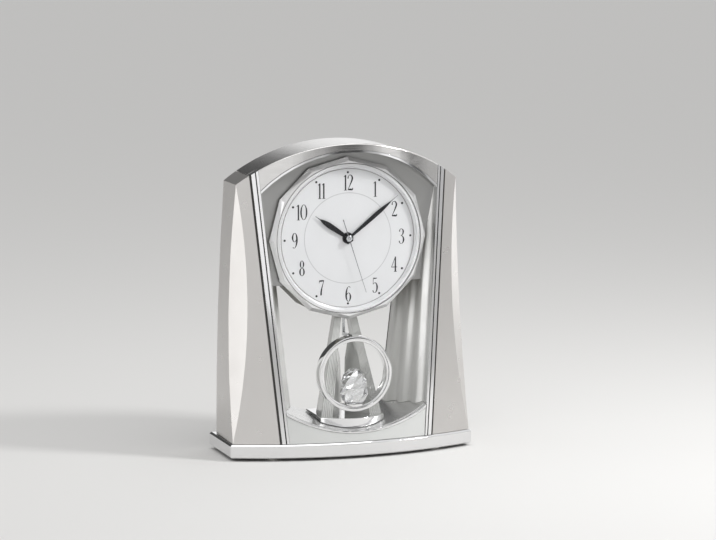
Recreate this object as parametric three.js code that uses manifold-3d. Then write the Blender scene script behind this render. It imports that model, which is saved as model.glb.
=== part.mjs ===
// A silver table clock with a bowed case, a twelve-sided bezel and a pendulum in an open window.
// Millimetres, +Z up, -Y to the front. The origin is on the table under the middle of the clock.

import * as THREE from 'three';
import { mergeVertices } from 'three/addons/utils/BufferGeometryUtils.js';
import Module from 'manifold-3d';

const wasm = await Module();
wasm.setup();

// Clearances
const SEAM = 0.25;
const FIT = 0.15;
const REACH = 300;
const SPARE = 24;

// Base plinth and feet
const BASE_WIDTH = 192;
const BASE_DEPTH = 73;
const BASE_TAPER = 1.4;
const BASE_TOP = 12.5;
const BASE_EDGE = 1.2;
const BASE_WALL = 3;
const BASE_LEDGE = 2;
const BASE_ROOF = 2.5;
const BASE_LIP = 1.4;
const FOOT_HEIGHT = 2;
const FOOT_RADIUS = 5;
const FOOT_SIDE = 33;
const FOOT_INSET = 1.5;
const PLATE_THICK = 2;

// Case outline: bowed and leaning front, tapered sides, arched top
const BOW_RADIUS = 240;
const LEAN = 0.078;
const CASE_DEPTH = 63.6;
const CASE_FOOT_HALF = 92.7;
const CASE_SHOULDER_HALF = 85.7;
const SIDE_BOW = 1.6;
const SIDE_STEPS = 4;
const CREST_RADIUS = 141;
const WALL = 2.5;
const BACK_PLATE = 2;

// Lens-shaped facet on the outer front corner of each pillar
const FACET_DEPTH = 5;
const FACET_BEARING = 38;
const FACET_SPREAD = 10;

// Trim strips between the pillars and the middle
const STRIP_FOOT = 59.4;
const STRIP_SLOPE = 0.085;
const STRIP_WIDTH = 6.4;
const STRIP_DEPTH = 6;
const STRIP_PROUD = 0.7;
const REBATE_WIDTH = 1.2;
const GROOVE_WIDTH = 0.8;
const GROOVE_INSET = 1.7;
const GROOVE_DEPTH = 1.2;

// Arch over the dial
const ARCH_RADIUS = 95;
const ARCH_BAND = 6.5;
const ARCH_FRONT = 4;
const ARCH_TRIM = 1.5;
const TRIM_PROUD = 0.5;

// Window floor and the apron under it
const TRAY_RADIUS = 106.6;
const TRAY_LOW = 20.6;
const TRAY_THICK = 2;
const TRAY_TRIM = 1.6;
const TRAY_CLIMB = 0.066;
const APRON_THICK = 3;

// Fluted walls at the sides of the window
const WALL_BACK_FOOT = 38;
const WALL_BACK_SLOPE = 0.045;
const WALL_THICK = 2;
const FLUTES = 3;
const FLUTE_DEPTH = 2.2;

// Dial, bezel and glass
const DIAL_HEADROOM = 65.1;
const DIAL_RECESS = 29.1;
const DIAL_THICK = 1;
const DIAL_OPENING = 52;
const DIAL_MARGIN = 1.5;
const DIAL_PLAY = 0.6;
const DIAL_CLEAR = 2.33;
const DIAL_LINE = 33.8;
const DIAL_LINE_WIDTH = 0.8;
const DIAL_LINE_DEPTH = 0.2;
const BEZEL_SIDES = 12;
const BEZEL_OVERHANG = 1;
const BEZEL_SEAT = 0.1;
const BEZEL_RIM = 0.6;
const BEZEL_RISE = 3.6;
const RING_RISE = 3;
const HOUSING_WALL = 2.2;
const FLANGE_WIDTH = 7.5;
const FLANGE_THICK = 1.5;
const GLASS_SEAT = 1.5;
const GLASS_EDGE = 1.2;
const GLASS_THICK = 1.4;
const GLASS_DOME = 6;
const PANEL_STEP = 2.5;
const PANEL_THICK = 2;
const PANEL_DROP = 33.9;

// Hands at eight and a half minutes past ten
const HOUR_ANGLE = 304;
const MINUTE_ANGLE = 51.3;
const SECOND_ANGLE = 162;
const HAND_THICK = 0.5;
const HAND_GAP = 0.6;
const NUT_GAP = 0.2;
const HOUR_LENGTH = 30.8;
const HOUR_BELLY = 2.1;
const HOUR_RIM = 1;
const MINUTE_CLEAR = 2.7;
const MINUTE_BELLY = 1.6;
const MINUTE_RIM = 1.4;
const SECOND_CLEAR = 9;
const SECOND_TAIL = 15;
const SECOND_WIDTH = 0.6;
const SECOND_RIM = 0.9;
const SECOND_THICK = 0.3;
const CAP_RADIUS = 2.3;
const CAP_RISE = 0.7;

// Quartz movement
const MOVEMENT_SIDE = 56;
const MOVEMENT_GAP = 0.3;
const FRONT_SHELL = 9.2;
const BACK_SHELL = 7.5;
const MOVEMENT_WALL = 1.2;
const SECOND_ARBOR = 0.6;
const TUBE_PLAY = 0.3;
const TUBE_WALL = 0.7;
const BUSH_WALL = 0.8;
const NUT_RIM = 0.9;
const NUT_THICK = 0.7;
const GEAR_THICK = 0.7;
const PINION_THICK = 1.2;
const PINION_LEAD = 0.2;
const GEAR_GAP = 0.4;
const MOTION_LAYER = 1.9;
const TRAIN_LAYER = 2.2;
const TOOTH_TIP = 0.55;
const TOOTH_ROOT = 0.85;
const TOOTH_HALF = 0.26;
const MODULE = 0.4;
const CANNON_TEETH = 10;
const MINUTE_TEETH = 30;
const MINUTE_PINION = 8;
const HOUR_TEETH = 32;
const CENTRE_TEETH = 48;
const THIRD_PINION = 6;
const THIRD_TEETH = 45;
const SECOND_PINION = 6;
const SECOND_TEETH = 30;
const SETTING_TEETH = 15;
const THIRD_BEARING = 135;
const ARBOR = 0.5;
const KNOB_RADIUS = 6;
const KNOB_THICK = 4;
const KNOB_FLUTES = 12;

const MOTOR_X = -10;
const MOTOR_COIL = 3;
const MOTOR_CLEAR = 1.4;
const MOTOR_WINDING = 18;
const MOTOR_CORE = 24;
const MOTOR_PLATE = 1;
const STATOR_LENGTH = 20;
const ROTOR_HOLE = 1.8;
const POST = 1.2;
const BOARD_LENGTH = 22;
const BOARD_HEIGHT = 15;
const BOARD_THICK = 1;

// Battery and its door
const CELL_RADIUS = 7;
const CELL_LENGTH = 49;
const CELL_TIP = 2.6;
const CELL_TIP_LENGTH = 1.4;
const CELL_SHIFT = 0.2;
const BAY_HEIGHT = 16.5;
const CONTACT_THICK = 0.5;
const CONTACT_HEIGHT = 12;
const CONTACT_DEPTH = 13.8;
const SPRING_COILS = 2;
const SPRING_WIRE = 0.3;
const SPRING_WIDE = 4.5;
const SPRING_TIP = 1.5;
const DOOR_WIDTH = 58;
const DOOR_HEIGHT = 20;
const DOOR_THICK = 1.6;
const HATCH_SIDE = 3;
const HATCH_END = 2;
const RAIL_WIDTH = 2.4;
const RAIL_LIP = 1;
const RIDGES = 3;
const RIDGE_LENGTH = 16;
const RIDGE_WIDTH = 1;
const RIDGE_RISE = 0.7;
const RIDGE_PITCH = 2.2;
const RIDGE_MARGIN = 3;

// Support and pendulum
const STAGE_RISE = 8;
const STAGE_HALF = 24.8;
const STAGE_RECESS = 8.6;
const STAGE_NOSE = 10;
const STAGE_DEPTH = 47;
const LEG_OVERLAP = 3.1;
const LEG_TOP_HALF = 8.2;
const LEG_FOOT_HALF = 23.8;
const LEG_FACE_TOP = 5.4;
const LEG_FACE_FOOT = 9;
const LEG_RECESS = 35.2;
const LEG_LEAN = 0.19;
const LEG_DEPTH_TOP = 9;
const LEG_DEPTH_FOOT = 20;
const LEG_TAPER = 0.12;
const LEG_TUCK_START = 0.22;
const LEG_TUCK = 26;
const LEG_HEEL = 1.2;
const LEG_RIBS = 6;
const RIB_DEPTH = 0.5;
const PIVOT_DROP = 10.9;
const PIVOT_PIN = 0.8;
const PIVOT_ROOM = 3;
const ROD_RECESS = 38.8;
const ROD_THICK = 1.6;
const ROD_WIDTH = 1.8;
const EYE_RADIUS = 3;
const MAGNET_RADIUS = 4;
const MAGNET_DROP = 10;
const MAGNET_THICK = 2.2;
const MAGNET_GAP = 0.9;
const COIL_RADIUS = 5.5;
const COIL_BORE = 1.5;
const COIL_LENGTH = 5;
const BRACKET_HALF = 7;
const BRACKET_THICK = 1.2;
const RING_RADIUS = 28.4;
const RING_BORE = 24.2;
const RING_GAP = 4.5;
const RING_HEADROOM = 11;
const RING_RECESS = 10.1;
const RING_DEPTH = 9;
const RING_STEP = 1;
const SWING_SLOT = 5;
const SLOT_PLAY = 1;
const CRYSTAL_RADIUS = 11;
const CRYSTAL_HEIGHT = 26;
const CRYSTAL_SIDES = 10;
const CUP_RADIUS = 7;
const CUP_RISE = 2;

// Depths, worked out from the front of the case
const baseFront = -BASE_DEPTH / 2;
const caseFront = baseFront + BASE_LIP;
const caseBack = caseFront + CASE_DEPTH;
const housingBack = caseBack - BACK_PLATE;
const dialFront = caseFront + DIAL_RECESS;
const panelFront = dialFront + PANEL_STEP;
const bezelBack = dialFront + BEZEL_SEAT;
const hourFront = dialFront - NUT_THICK - NUT_GAP - HAND_THICK;
const minuteFront = hourFront - HAND_GAP - HAND_THICK;
const secondFront = minuteFront - HAND_GAP - SECOND_THICK;
const shellFront = dialFront + DIAL_THICK + MOVEMENT_GAP;
const shellSplit = shellFront + FRONT_SHELL;
const shellBack = shellSplit + BACK_SHELL;
const stageFront = caseFront + STAGE_RECESS;
const legFront = caseFront + LEG_RECESS;
const rodFront = caseFront + ROD_RECESS;
const rodBack = rodFront + ROD_THICK;
const ringFront = caseFront + RING_RECESS;
const ringBack = ringFront + RING_DEPTH;

// Radii about the dial's axis, from the dial and the second hand's arbor outwards
const apothem = Math.cos(Math.PI / BEZEL_SIDES);
const dialRadius = DIAL_OPENING + DIAL_MARGIN;
const glassRadius = dialRadius + GLASS_SEAT;
const bezelBore = glassRadius + GLASS_EDGE;
const housingRadius = (dialRadius + DIAL_CLEAR) / apothem + HOUSING_WALL;
const bezelRadius = housingRadius + BEZEL_OVERHANG;
const flangeBore = dialRadius - FLANGE_WIDTH;
const minuteLength = DIAL_OPENING - MINUTE_CLEAR;
const secondLength = DIAL_OPENING - SECOND_CLEAR;
const centreTube = SECOND_ARBOR + TUBE_PLAY + TUBE_WALL;
const hourTube = centreTube + TUBE_PLAY + TUBE_WALL;
const bushRadius = hourTube + TUBE_PLAY + BUSH_WALL;
const nutRadius = bushRadius + NUT_RIM;
const dialHole = bushRadius + DIAL_PLAY;

// Heights, from the window floor up to the crest
const caseFloor = BASE_TOP + SEAM;
const trayCentre = TRAY_LOW + TRAY_RADIUS;
const stageTop = TRAY_LOW + STAGE_RISE;
const ringCentre = stageTop + RING_GAP + RING_RADIUS;
const housingFoot = ringCentre + RING_RADIUS + RING_HEADROOM;
const dialHeight = housingFoot + housingRadius;
const panelFoot = dialHeight - PANEL_DROP;
const legTop = housingFoot + LEG_OVERLAP;
const archCrown = dialHeight + DIAL_HEADROOM;
const archCentre = archCrown - ARCH_RADIUS;
const caseCrest = archCrown + ARCH_BAND;
const crestCentre = caseCrest - CREST_RADIUS;
const shoulderHeight = crestCentre + Math.sqrt(CREST_RADIUS ** 2 - CASE_SHOULDER_HALF ** 2);
const movementLow = dialHeight - MOVEMENT_SIDE / 2;
const movementHigh = dialHeight + MOVEMENT_SIDE / 2;
const pivotHeight = movementLow - PIVOT_DROP;
const crystalFoot = ringCentre - RING_BORE + CUP_RISE;

// Centre distances of the wheels
const motionDistance = (CANNON_TEETH + MINUTE_TEETH) * MODULE / 2;
const hourModule = 2 * motionDistance / (HOUR_TEETH + MINUTE_PINION);
const trainDistance = (CENTRE_TEETH + THIRD_PINION) * MODULE / 2;
const secondModule = 2 * trainDistance / (THIRD_TEETH + SECOND_PINION);
const settingDistance = motionDistance + (MINUTE_TEETH + SETTING_TEETH) * MODULE / 2;

const radians = THREE.MathUtils.degToRad;
const point2 = (x, y) => new THREE.Vector2(x, y);
const point3 = (x, y, z) => new THREE.Vector3(x, y, z);

// Solids: a closed geometry becomes a manifold for joining and cutting

function signedVolume(positions, index) {
  let sum = 0;
  const a = point3(0, 0, 0);
  const b = point3(0, 0, 0);
  const c = point3(0, 0, 0);
  for (let i = 0; i < index.length; i += 3) {
    a.fromArray(positions, 3 * index[i]);
    b.fromArray(positions, 3 * index[i + 1]);
    c.fromArray(positions, 3 * index[i + 2]);
    sum += a.dot(b.cross(c)) / 6;
  }
  return sum;
}

function solid(geometry) {
  const bare = geometry.clone();
  bare.deleteAttribute('normal');
  bare.deleteAttribute('uv');
  const merged = mergeVertices(bare, 1e-4);
  const positions = new Float32Array(merged.attributes.position.array);
  const corners = merged.index.array;
  const kept = [];
  for (let i = 0; i < corners.length; i += 3) {
    const [a, b, c] = [corners[i], corners[i + 1], corners[i + 2]];
    if (a !== b && b !== c && c !== a) {
      kept.push(a, b, c);
    }
  }
  if (signedVolume(positions, kept) < 0) {
    kept.reverse();
  }
  return new wasm.Manifold(new wasm.Mesh({
    numProp: 3,
    vertProperties: positions,
    triVerts: new Uint32Array(kept),
  }));
}

function geometryOf(body) {
  const mesh = body.getMesh();
  const geometry = new THREE.BufferGeometry();
  geometry.setAttribute('position', new THREE.BufferAttribute(new Float32Array(mesh.vertProperties), 3));
  geometry.setIndex(new THREE.BufferAttribute(new Uint32Array(mesh.triVerts), 1));
  return geometry;
}

function moved(body, x, y, z) {
  return solid(geometryOf(body).translate(x, y, z));
}

// The same piece on the other side of the clock
function mirrored(body) {
  return solid(geometryOf(body).scale(-1, 1, 1));
}

function joined(first, ...others) {
  return others.reduce((whole, next) => whole.add(next), first);
}

// An outline in plan, raised from one height to another
function raised(shape, low, high, segments = 14) {
  const geometry = new THREE.ExtrudeGeometry(shape, {
    depth: high - low,
    bevelEnabled: false,
    curveSegments: segments,
  });
  return solid(geometry.translate(0, 0, low));
}

// An outline in the front view, carried from one depth to another
function carried(shape, front, back, segments = 16) {
  const geometry = new THREE.ExtrudeGeometry(shape, {
    depth: back - front,
    bevelEnabled: false,
    curveSegments: segments,
  });
  return solid(geometry.rotateX(Math.PI / 2).translate(0, back, 0));
}

// A profile of [radius, depth] points turned about an axis along Y
function turned(profile, x, z, segments = 48) {
  const points = profile.map(([radius, depth]) => point2(radius, depth));
  points.push(points[0].clone());
  return solid(new THREE.LatheGeometry(points, segments).translate(x, 0, z));
}

function disc(radius, front, back, x, z, segments = 16) {
  const geometry = new THREE.CylinderGeometry(radius, radius, back - front, segments);
  return solid(geometry.translate(x, (front + back) / 2, z));
}

function tube(outer, inner, front, back, x, z, segments = 36) {
  return turned([[inner, front], [outer, front], [outer, back], [inner, back]], x, z, segments);
}

function block(x0, x1, y0, y1, z0, z1) {
  const geometry = new THREE.BoxGeometry(x1 - x0, y1 - y0, z1 - z0);
  return solid(geometry.translate((x0 + x1) / 2, (y0 + y1) / 2, (z0 + z1) / 2));
}

function polygon(points) {
  return new THREE.Shape(points.map(([x, y]) => point2(x, y)));
}

// A skin drawn over rings of matching points, closed by a flat cap at each end
function lofted(rings) {
  const count = rings[0].length;
  const positions = rings.flat().flatMap((p) => [p.x, p.y, p.z]);
  const index = [];
  for (let r = 0; r + 1 < rings.length; r += 1) {
    for (let i = 0; i < count; i += 1) {
      const a = r * count + i;
      const b = r * count + (i + 1) % count;
      index.push(a, b, b + count, a, b + count, a + count);
    }
  }
  const cap = (ring, start, flip) => {
    const flat = ring.map((p) => point2(p.x, p.y));
    for (const [a, b, c] of THREE.ShapeUtils.triangulateShape(flat, [])) {
      index.push(...(flip ? [start + a, start + c, start + b] : [start + a, start + b, start + c]));
    }
  };
  const upward = THREE.ShapeUtils.isClockWise(rings[0].map((p) => point2(p.x, p.y)));
  cap(rings[0], 0, !upward);
  cap(rings[rings.length - 1], (rings.length - 1) * count, upward);
  const geometry = new THREE.BufferGeometry();
  geometry.setAttribute('position', new THREE.Float32BufferAttribute(positions, 3));
  geometry.setIndex(index);
  return solid(geometry);
}

// Case surfaces

// Everything behind the bowed, leaning front; a positive offset stands proud of it
function behindFront(offset) {
  const radius = BOW_RADIUS + offset;
  const half = CASE_FOOT_HALF + SPARE;
  const spread = Math.asin(half / radius);
  const centre = caseFront + BOW_RADIUS;
  const shape = new THREE.Shape();
  shape.absarc(0, centre, radius, -Math.PI / 2 - spread, -Math.PI / 2 + spread, false);
  shape.lineTo(half, REACH);
  shape.lineTo(-half, REACH);
  const geometry = new THREE.ExtrudeGeometry(shape, { depth: REACH, bevelEnabled: false, curveSegments: 16 });
  const lean = new THREE.Matrix4().makeShear(0, 0, 0, 0, 0, LEAN);
  return solid(geometry.translate(0, 0, -BASE_TOP).applyMatrix4(lean).translate(0, 0, BASE_TOP));
}

// A skin of the front between two offsets
function frontSkin(outer, inner) {
  return behindFront(outer).subtract(behindFront(inner));
}

function frontDepth(x, z) {
  const sag = BOW_RADIUS - Math.sqrt(BOW_RADIUS ** 2 - x ** 2);
  return caseFront + sag + LEAN * (z - BASE_TOP);
}

// The case in front view, drawn in by an inset; its sides bow outwards
function caseShape(inset) {
  const radius = CREST_RADIUS - inset;
  const turn = Math.acos((CASE_SHOULDER_HALF - inset) / radius);
  const floor = caseFloor + inset;
  const rise = crestCentre + radius * Math.sin(turn) - floor;
  const side = Array.from({ length: SIDE_STEPS + 1 }, (_, i) => {
    const t = i / SIDE_STEPS;
    const half = CASE_FOOT_HALF + (CASE_SHOULDER_HALF - CASE_FOOT_HALF) * t + 4 * SIDE_BOW * t * (1 - t);
    return point2(half - inset, floor + rise * t);
  });
  const shape = new THREE.Shape();
  shape.moveTo(-side[0].x, floor);
  side.slice(0, -1).forEach((p) => shape.lineTo(p.x, p.y));
  shape.absarc(0, crestCentre, radius, turn, Math.PI - turn, false);
  side.slice(1, -1).reverse().forEach((p) => shape.lineTo(-p.x, p.y));
  return shape;
}

const stripOuter = (z) => STRIP_FOOT + STRIP_SLOPE * (z - BASE_TOP);

// The slanting band beside the right strip, from one offset of its outer edge to another
function stripBand(from, to) {
  return polygon([
    [stripOuter(0) + from, 0],
    [stripOuter(0) + to, 0],
    [stripOuter(REACH) + to, REACH],
    [stripOuter(REACH) + from, REACH],
  ]);
}

// The middle of the clock between the two strips, narrowed by an inset
function betweenStrips(inset) {
  const low = stripOuter(0) - inset;
  const high = stripOuter(REACH) - inset;
  return polygon([[-low, 0], [low, 0], [high, REACH], [-high, REACH]]);
}

// Front view of the space under the arch and over the tray
function windowShape(inset) {
  const under = TRAY_RADIUS - inset;
  const over = ARCH_RADIUS - inset;
  const shape = new THREE.Shape();
  shape.absarc(0, trayCentre, under, Math.PI, 2 * Math.PI, false);
  shape.absarc(0, archCentre, over, 0, Math.PI, false);
  return shape;
}

// Front view of a band along the tray's arc
function trayBand(inner, outer) {
  const half = stripOuter(caseCrest);
  const turnInner = Math.acos(half / inner);
  const turnOuter = Math.acos(half / outer);
  const shape = new THREE.Shape();
  shape.absarc(0, trayCentre, outer, Math.PI + turnOuter, 2 * Math.PI - turnOuter, false);
  shape.absarc(0, trayCentre, inner, 2 * Math.PI - turnInner, Math.PI + turnInner, true);
  return shape;
}

// A body drawn along the window, climbing with the tray towards the back
function climbing(body) {
  const climb = new THREE.Matrix4().makeShear(0, 0, 0, TRAY_CLIMB, 0, 0);
  return solid(geometryOf(body).translate(0, -caseFront, 0).applyMatrix4(climb).translate(0, caseFront, 0));
}

const deep = -REACH / 2;
const springing = block(-REACH, REACH, deep, REACH, archCentre, REACH);
const lowPart = block(-REACH, REACH, deep, REACH, 0, archCentre / 2);
const caseBody = carried(caseShape(0), deep, caseBack).intersect(behindFront(0));
const caseHollow = (inset) => carried(caseShape(inset), deep, REACH);

// Base

function basePlan(inset) {
  const half = BASE_WIDTH / 2 - inset;
  const radius = BOW_RADIUS + BASE_LIP - inset;
  const spread = Math.asin((half - BASE_TAPER) / radius);
  const shape = new THREE.Shape();
  shape.absarc(0, caseFront + BOW_RADIUS, radius, -Math.PI / 2 - spread, -Math.PI / 2 + spread, false);
  shape.lineTo(half, BASE_DEPTH / 2 - inset);
  shape.lineTo(-half, BASE_DEPTH / 2 - inset);
  return shape;
}

function basePlinth() {
  const geometry = new THREE.ExtrudeGeometry(basePlan(0), {
    depth: BASE_TOP - FOOT_HEIGHT - 2 * BASE_EDGE,
    bevelEnabled: true,
    bevelThickness: BASE_EDGE,
    bevelSize: BASE_EDGE,
    bevelOffset: -BASE_EDGE,
    bevelSegments: 1,
    curveSegments: 16,
  });
  const outside = solid(geometry.translate(0, 0, FOOT_HEIGHT + BASE_EDGE));
  const recess = raised(basePlan(BASE_WALL), 0, FOOT_HEIGHT + PLATE_THICK);
  const pocket = raised(basePlan(BASE_WALL + BASE_LEDGE), 0, BASE_TOP - BASE_ROOF);
  return outside.subtract(recess).subtract(pocket);
}

function basePlate() {
  return raised(basePlan(BASE_WALL + SEAM), FOOT_HEIGHT, FOOT_HEIGHT + PLATE_THICK);
}

function foot(x, y) {
  const geometry = new THREE.CylinderGeometry(FOOT_RADIUS, FOOT_RADIUS, FOOT_HEIGHT, 20);
  return solid(geometry.rotateX(Math.PI / 2).translate(x, y, FOOT_HEIGHT / 2));
}

// Pillars

// A shallow arc cut along the outer corner: widest half way up, nothing at its ends
function facetCut(growth) {
  const low = point3(CASE_FOOT_HALF, frontDepth(CASE_FOOT_HALF, BASE_TOP), caseFloor);
  const high = point3(CASE_SHOULDER_HALF, frontDepth(CASE_SHOULDER_HALF, shoulderHeight), shoulderHeight);
  const along = high.clone().sub(low);
  const length = along.length();
  along.normalize();
  const out = point3(Math.cos(radians(FACET_BEARING)), -Math.sin(radians(FACET_BEARING)), 0);
  out.addScaledVector(along, -out.dot(along)).normalize();
  const across = point3(0, 0, 0).crossVectors(along, out);
  const depth = FACET_DEPTH + growth;
  const half = length / 2 + FACET_SPREAD * growth;
  const radius = (half ** 2 + depth ** 2) / (2 * depth);
  const turn = Math.asin(half / radius);
  const shape = new THREE.Shape();
  shape.absarc(length / 2, radius - depth, radius, -Math.PI / 2 - turn, -Math.PI / 2 + turn, false);
  shape.lineTo(length / 2 + half, REACH / 10);
  shape.lineTo(length / 2 - half, REACH / 10);
  const width = REACH / 5;
  const geometry = new THREE.ExtrudeGeometry(shape, { depth: width, bevelEnabled: false, curveSegments: 8 });
  geometry.translate(0, 0, -width / 2);
  const frame = new THREE.Matrix4().makeBasis(along, out, across).setPosition(low);
  return solid(geometry.applyMatrix4(frame));
}

function pillar() {
  const outer = caseBody.intersect(carried(stripBand(SEAM, REACH), deep, REACH)).subtract(facetCut(0));
  const hollow = caseHollow(WALL).intersect(behindFront(-WALL)).subtract(facetCut(WALL));
  const behindFlange = carried(stripBand(SEAM + WALL, REACH), deep, REACH);
  const openSide = behindFront(-STRIP_DEPTH - WALL);
  return outer.subtract(hollow.intersect(behindFlange)).subtract(hollow.intersect(openSide));
}

const wallBack = (z) => WALL_BACK_FOOT + WALL_BACK_SLOPE * (z - TRAY_LOW);

// The right back plate closes the pillar: to the fluted wall below, to the back cover above
function pillarBack() {
  const stripInner = (z) => stripOuter(z) - WALL - SEAM;
  const step = panelFoot - SEAM;
  const inner = polygon([
    [wallBack(0), 0],
    [REACH, 0],
    [REACH, REACH],
    [stripInner(REACH), REACH],
    [stripInner(step), step],
    [wallBack(step), step],
  ]);
  const plate = carried(caseShape(WALL + SEAM), housingBack, caseBack);
  const drum = prism(housingRadius + SEAM, deep, REACH);
  return plate.intersect(carried(inner, deep, REACH)).subtract(archEndZone()).subtract(drum);
}

// Strips, arch and apron

function strip() {
  const band = carried(stripBand(-STRIP_WIDTH, 0), deep, REACH);
  const skin = frontSkin(STRIP_PROUD, -STRIP_DEPTH);
  const body = carried(caseShape(0), deep, caseBack).intersect(band).intersect(skin);
  const inner = -STRIP_WIDTH + GROOVE_INSET;
  const grooves = [[-REBATE_WIDTH, SEAM], [inner, inner + GROOVE_WIDTH]].map(([from, to]) => {
    const line = carried(stripBand(from, to), deep, REACH);
    return line.intersect(frontSkin(2 * STRIP_PROUD, STRIP_PROUD - GROOVE_DEPTH));
  });
  return grooves.reduce((whole, groove) => whole.subtract(groove), body);
}

// The room taken by both strips, with a seam all round
function stripRoom() {
  const skin = frontSkin(2 * STRIP_PROUD, -STRIP_DEPTH - SEAM);
  const right = carried(stripBand(-STRIP_WIDTH - SEAM, SEAM), deep, REACH).intersect(skin);
  return right.add(mirrored(right));
}

// The upper space that belongs to the arch behind its ends
function archEndZone() {
  const middle = carried(betweenStrips(0), deep, REACH).intersect(springing);
  return middle.subtract(carried(windowShape(-ARCH_TRIM), deep, REACH));
}

function archTop() {
  const middle = carried(betweenStrips(SEAM), deep, REACH).intersect(springing);
  const under = carried(windowShape(-ARCH_TRIM - SEAM), deep, REACH);
  const whole = caseBody.intersect(middle).subtract(under).subtract(stripRoom());
  const hollow = caseHollow(WALL).intersect(carried(betweenStrips(SEAM + WALL), deep, REACH));
  return whole.subtract(hollow.intersect(behindFront(-ARCH_FRONT)));
}

function archTrim() {
  const ring = carried(windowShape(-ARCH_TRIM), deep, REACH).subtract(carried(windowShape(0), deep, REACH));
  const middle = carried(betweenStrips(STRIP_WIDTH + SEAM), deep, REACH).intersect(springing);
  return ring.intersect(middle).intersect(frontSkin(TRIM_PROUD, -ARCH_FRONT));
}

function frontApron() {
  const below = carried(caseShape(0), deep, caseBack);
  const over = carried(windowShape(-TRAY_TRIM - SEAM), deep, REACH);
  const middle = carried(betweenStrips(STRIP_WIDTH + SEAM), deep, REACH);
  return below.subtract(over).intersect(middle).intersect(lowPart).intersect(frontSkin(0, -APRON_THICK));
}

function rearApron() {
  const below = carried(caseShape(0), housingBack, caseBack);
  const over = climbing(carried(windowShape(-TRAY_THICK - SEAM), deep, REACH));
  const half = wallBack(0) - SEAM;
  const high = wallBack(REACH) - SEAM;
  const middle = polygon([[-half, 0], [half, 0], [high, REACH], [-high, REACH]]);
  return below.subtract(over).intersect(carried(middle, deep, REACH)).intersect(lowPart);
}

function trayTrim() {
  const band = carried(trayBand(TRAY_RADIUS, TRAY_RADIUS + TRAY_TRIM), deep, REACH);
  const middle = carried(betweenStrips(STRIP_WIDTH + SEAM), deep, REACH);
  return band.intersect(middle).intersect(frontSkin(TRIM_PROUD, -APRON_THICK));
}

function floorTray() {
  const arc = carried(trayBand(TRAY_RADIUS, TRAY_RADIUS + TRAY_THICK), deep, housingBack - SEAM);
  const band = climbing(arc);
  const middle = carried(betweenStrips(SEAM), deep, REACH);
  return band.intersect(middle).intersect(behindFront(-APRON_THICK - SEAM)).subtract(stripRoom());
}

// Fluted wall on the right: plan sections that fan out towards the floor

function wallSection(z) {
  const frontX = stripOuter(z) - STRIP_WIDTH;
  const front = point2(frontX, frontDepth(frontX, z) + STRIP_DEPTH + 2 * SEAM);
  const back = point2(wallBack(z), housingBack - SEAM);
  const run = back.clone().sub(front);
  const inward = point2(run.y, -run.x).normalize().negate();
  const face = [];
  const steps = 4 * FLUTES;
  for (let i = 0; i <= steps; i += 1) {
    const ridge = 0.5 - 0.5 * Math.cos(2 * Math.PI * FLUTES * i / steps);
    const at = front.clone().addScaledVector(run, i / steps);
    face.push(at.addScaledVector(inward, FLUTE_DEPTH * ridge));
  }
  const outside = [back, front].map((p) => point2(p.x + WALL_THICK, p.y));
  return [...face, ...outside].map((p) => point3(p.x, p.y, z));
}

function innerWall() {
  const behindPanel = block(-REACH, REACH, panelFront - SEAM, REACH, panelFoot - SEAM, REACH);
  const window = carried(windowShape(SEAM), deep, REACH);
  const clear = window.intersect(climbing(window)).subtract(behindPanel).subtract(stripRoom());
  const wall = lofted([wallSection(BASE_TOP), wallSection(caseCrest)]);
  return wall.intersect(clear).subtract(prism(housingRadius + SEAM, deep, REACH));
}

// Dial group

function upperPanel() {
  const back = panelFront + PANEL_THICK;
  const plate = carried(caseShape(WALL + SEAM), panelFront, back);
  const middle = carried(betweenStrips(STRIP_WIDTH + SEAM), deep, REACH);
  const upper = middle.intersect(block(-REACH, REACH, deep, REACH, panelFoot, REACH));
  const drum = prism(housingRadius + SEAM, deep, REACH);
  return plate.intersect(upper).subtract(drum);
}

// A twelve-sided bar about the dial's axis, with a corner at each hour
function prism(radius, front, back, frontRadius = radius) {
  const geometry = new THREE.CylinderGeometry(radius, frontRadius, back - front, BEZEL_SIDES);
  return solid(geometry.translate(0, (front + back) / 2, dialHeight));
}

function dialHousing() {
  const wall = prism(housingRadius, bezelBack, housingBack);
  const bore = prism(housingRadius - HOUSING_WALL, deep, REACH);
  const seat = dialFront + DIAL_THICK;
  const flange = tube(housingRadius, flangeBore, seat, seat + FLANGE_THICK, 0, dialHeight);
  const body = wall.subtract(bore).add(flange.intersect(prism(housingRadius - HOUSING_WALL / 2, deep, REACH)));
  const slotFoot = housingFoot - SEAM;
  const slotTop = dialHeight - flangeBore;
  const slot = block(-SWING_SLOT, SWING_SLOT, rodFront - SLOT_PLAY, rodBack + SLOT_PLAY, slotFoot, slotTop);
  return body.subtract(slot);
}

function bezel() {
  const front = bezelBack - BEZEL_RISE;
  const rim = prism(bezelRadius, bezelBack - BEZEL_RIM, bezelBack);
  const facets = prism(bezelRadius, front, bezelBack - BEZEL_RIM, bezelBore / apothem);
  const bore = disc(bezelBore, deep, REACH, 0, dialHeight, 40);
  return rim.add(facets).subtract(bore);
}

function dialRing() {
  const front = dialFront - RING_RISE;
  const outer = bezelBore - SEAM;
  return turned([
    [DIAL_OPENING, dialFront],
    [outer, dialFront],
    [outer, front],
    [dialRadius + FIT, front],
    [DIAL_OPENING, dialFront - FIT],
  ], 0, dialHeight, 40);
}

function dial() {
  const back = dialFront + DIAL_THICK;
  const line = DIAL_LINE_WIDTH / 2;
  return turned([
    [dialHole, dialFront],
    [DIAL_LINE - line, dialFront],
    [DIAL_LINE - line / 2, dialFront + DIAL_LINE_DEPTH],
    [DIAL_LINE + line / 2, dialFront + DIAL_LINE_DEPTH],
    [DIAL_LINE + line, dialFront],
    [dialRadius, dialFront],
    [dialRadius, back],
    [dialHole, back],
  ], 0, dialHeight, 32);
}

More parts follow.
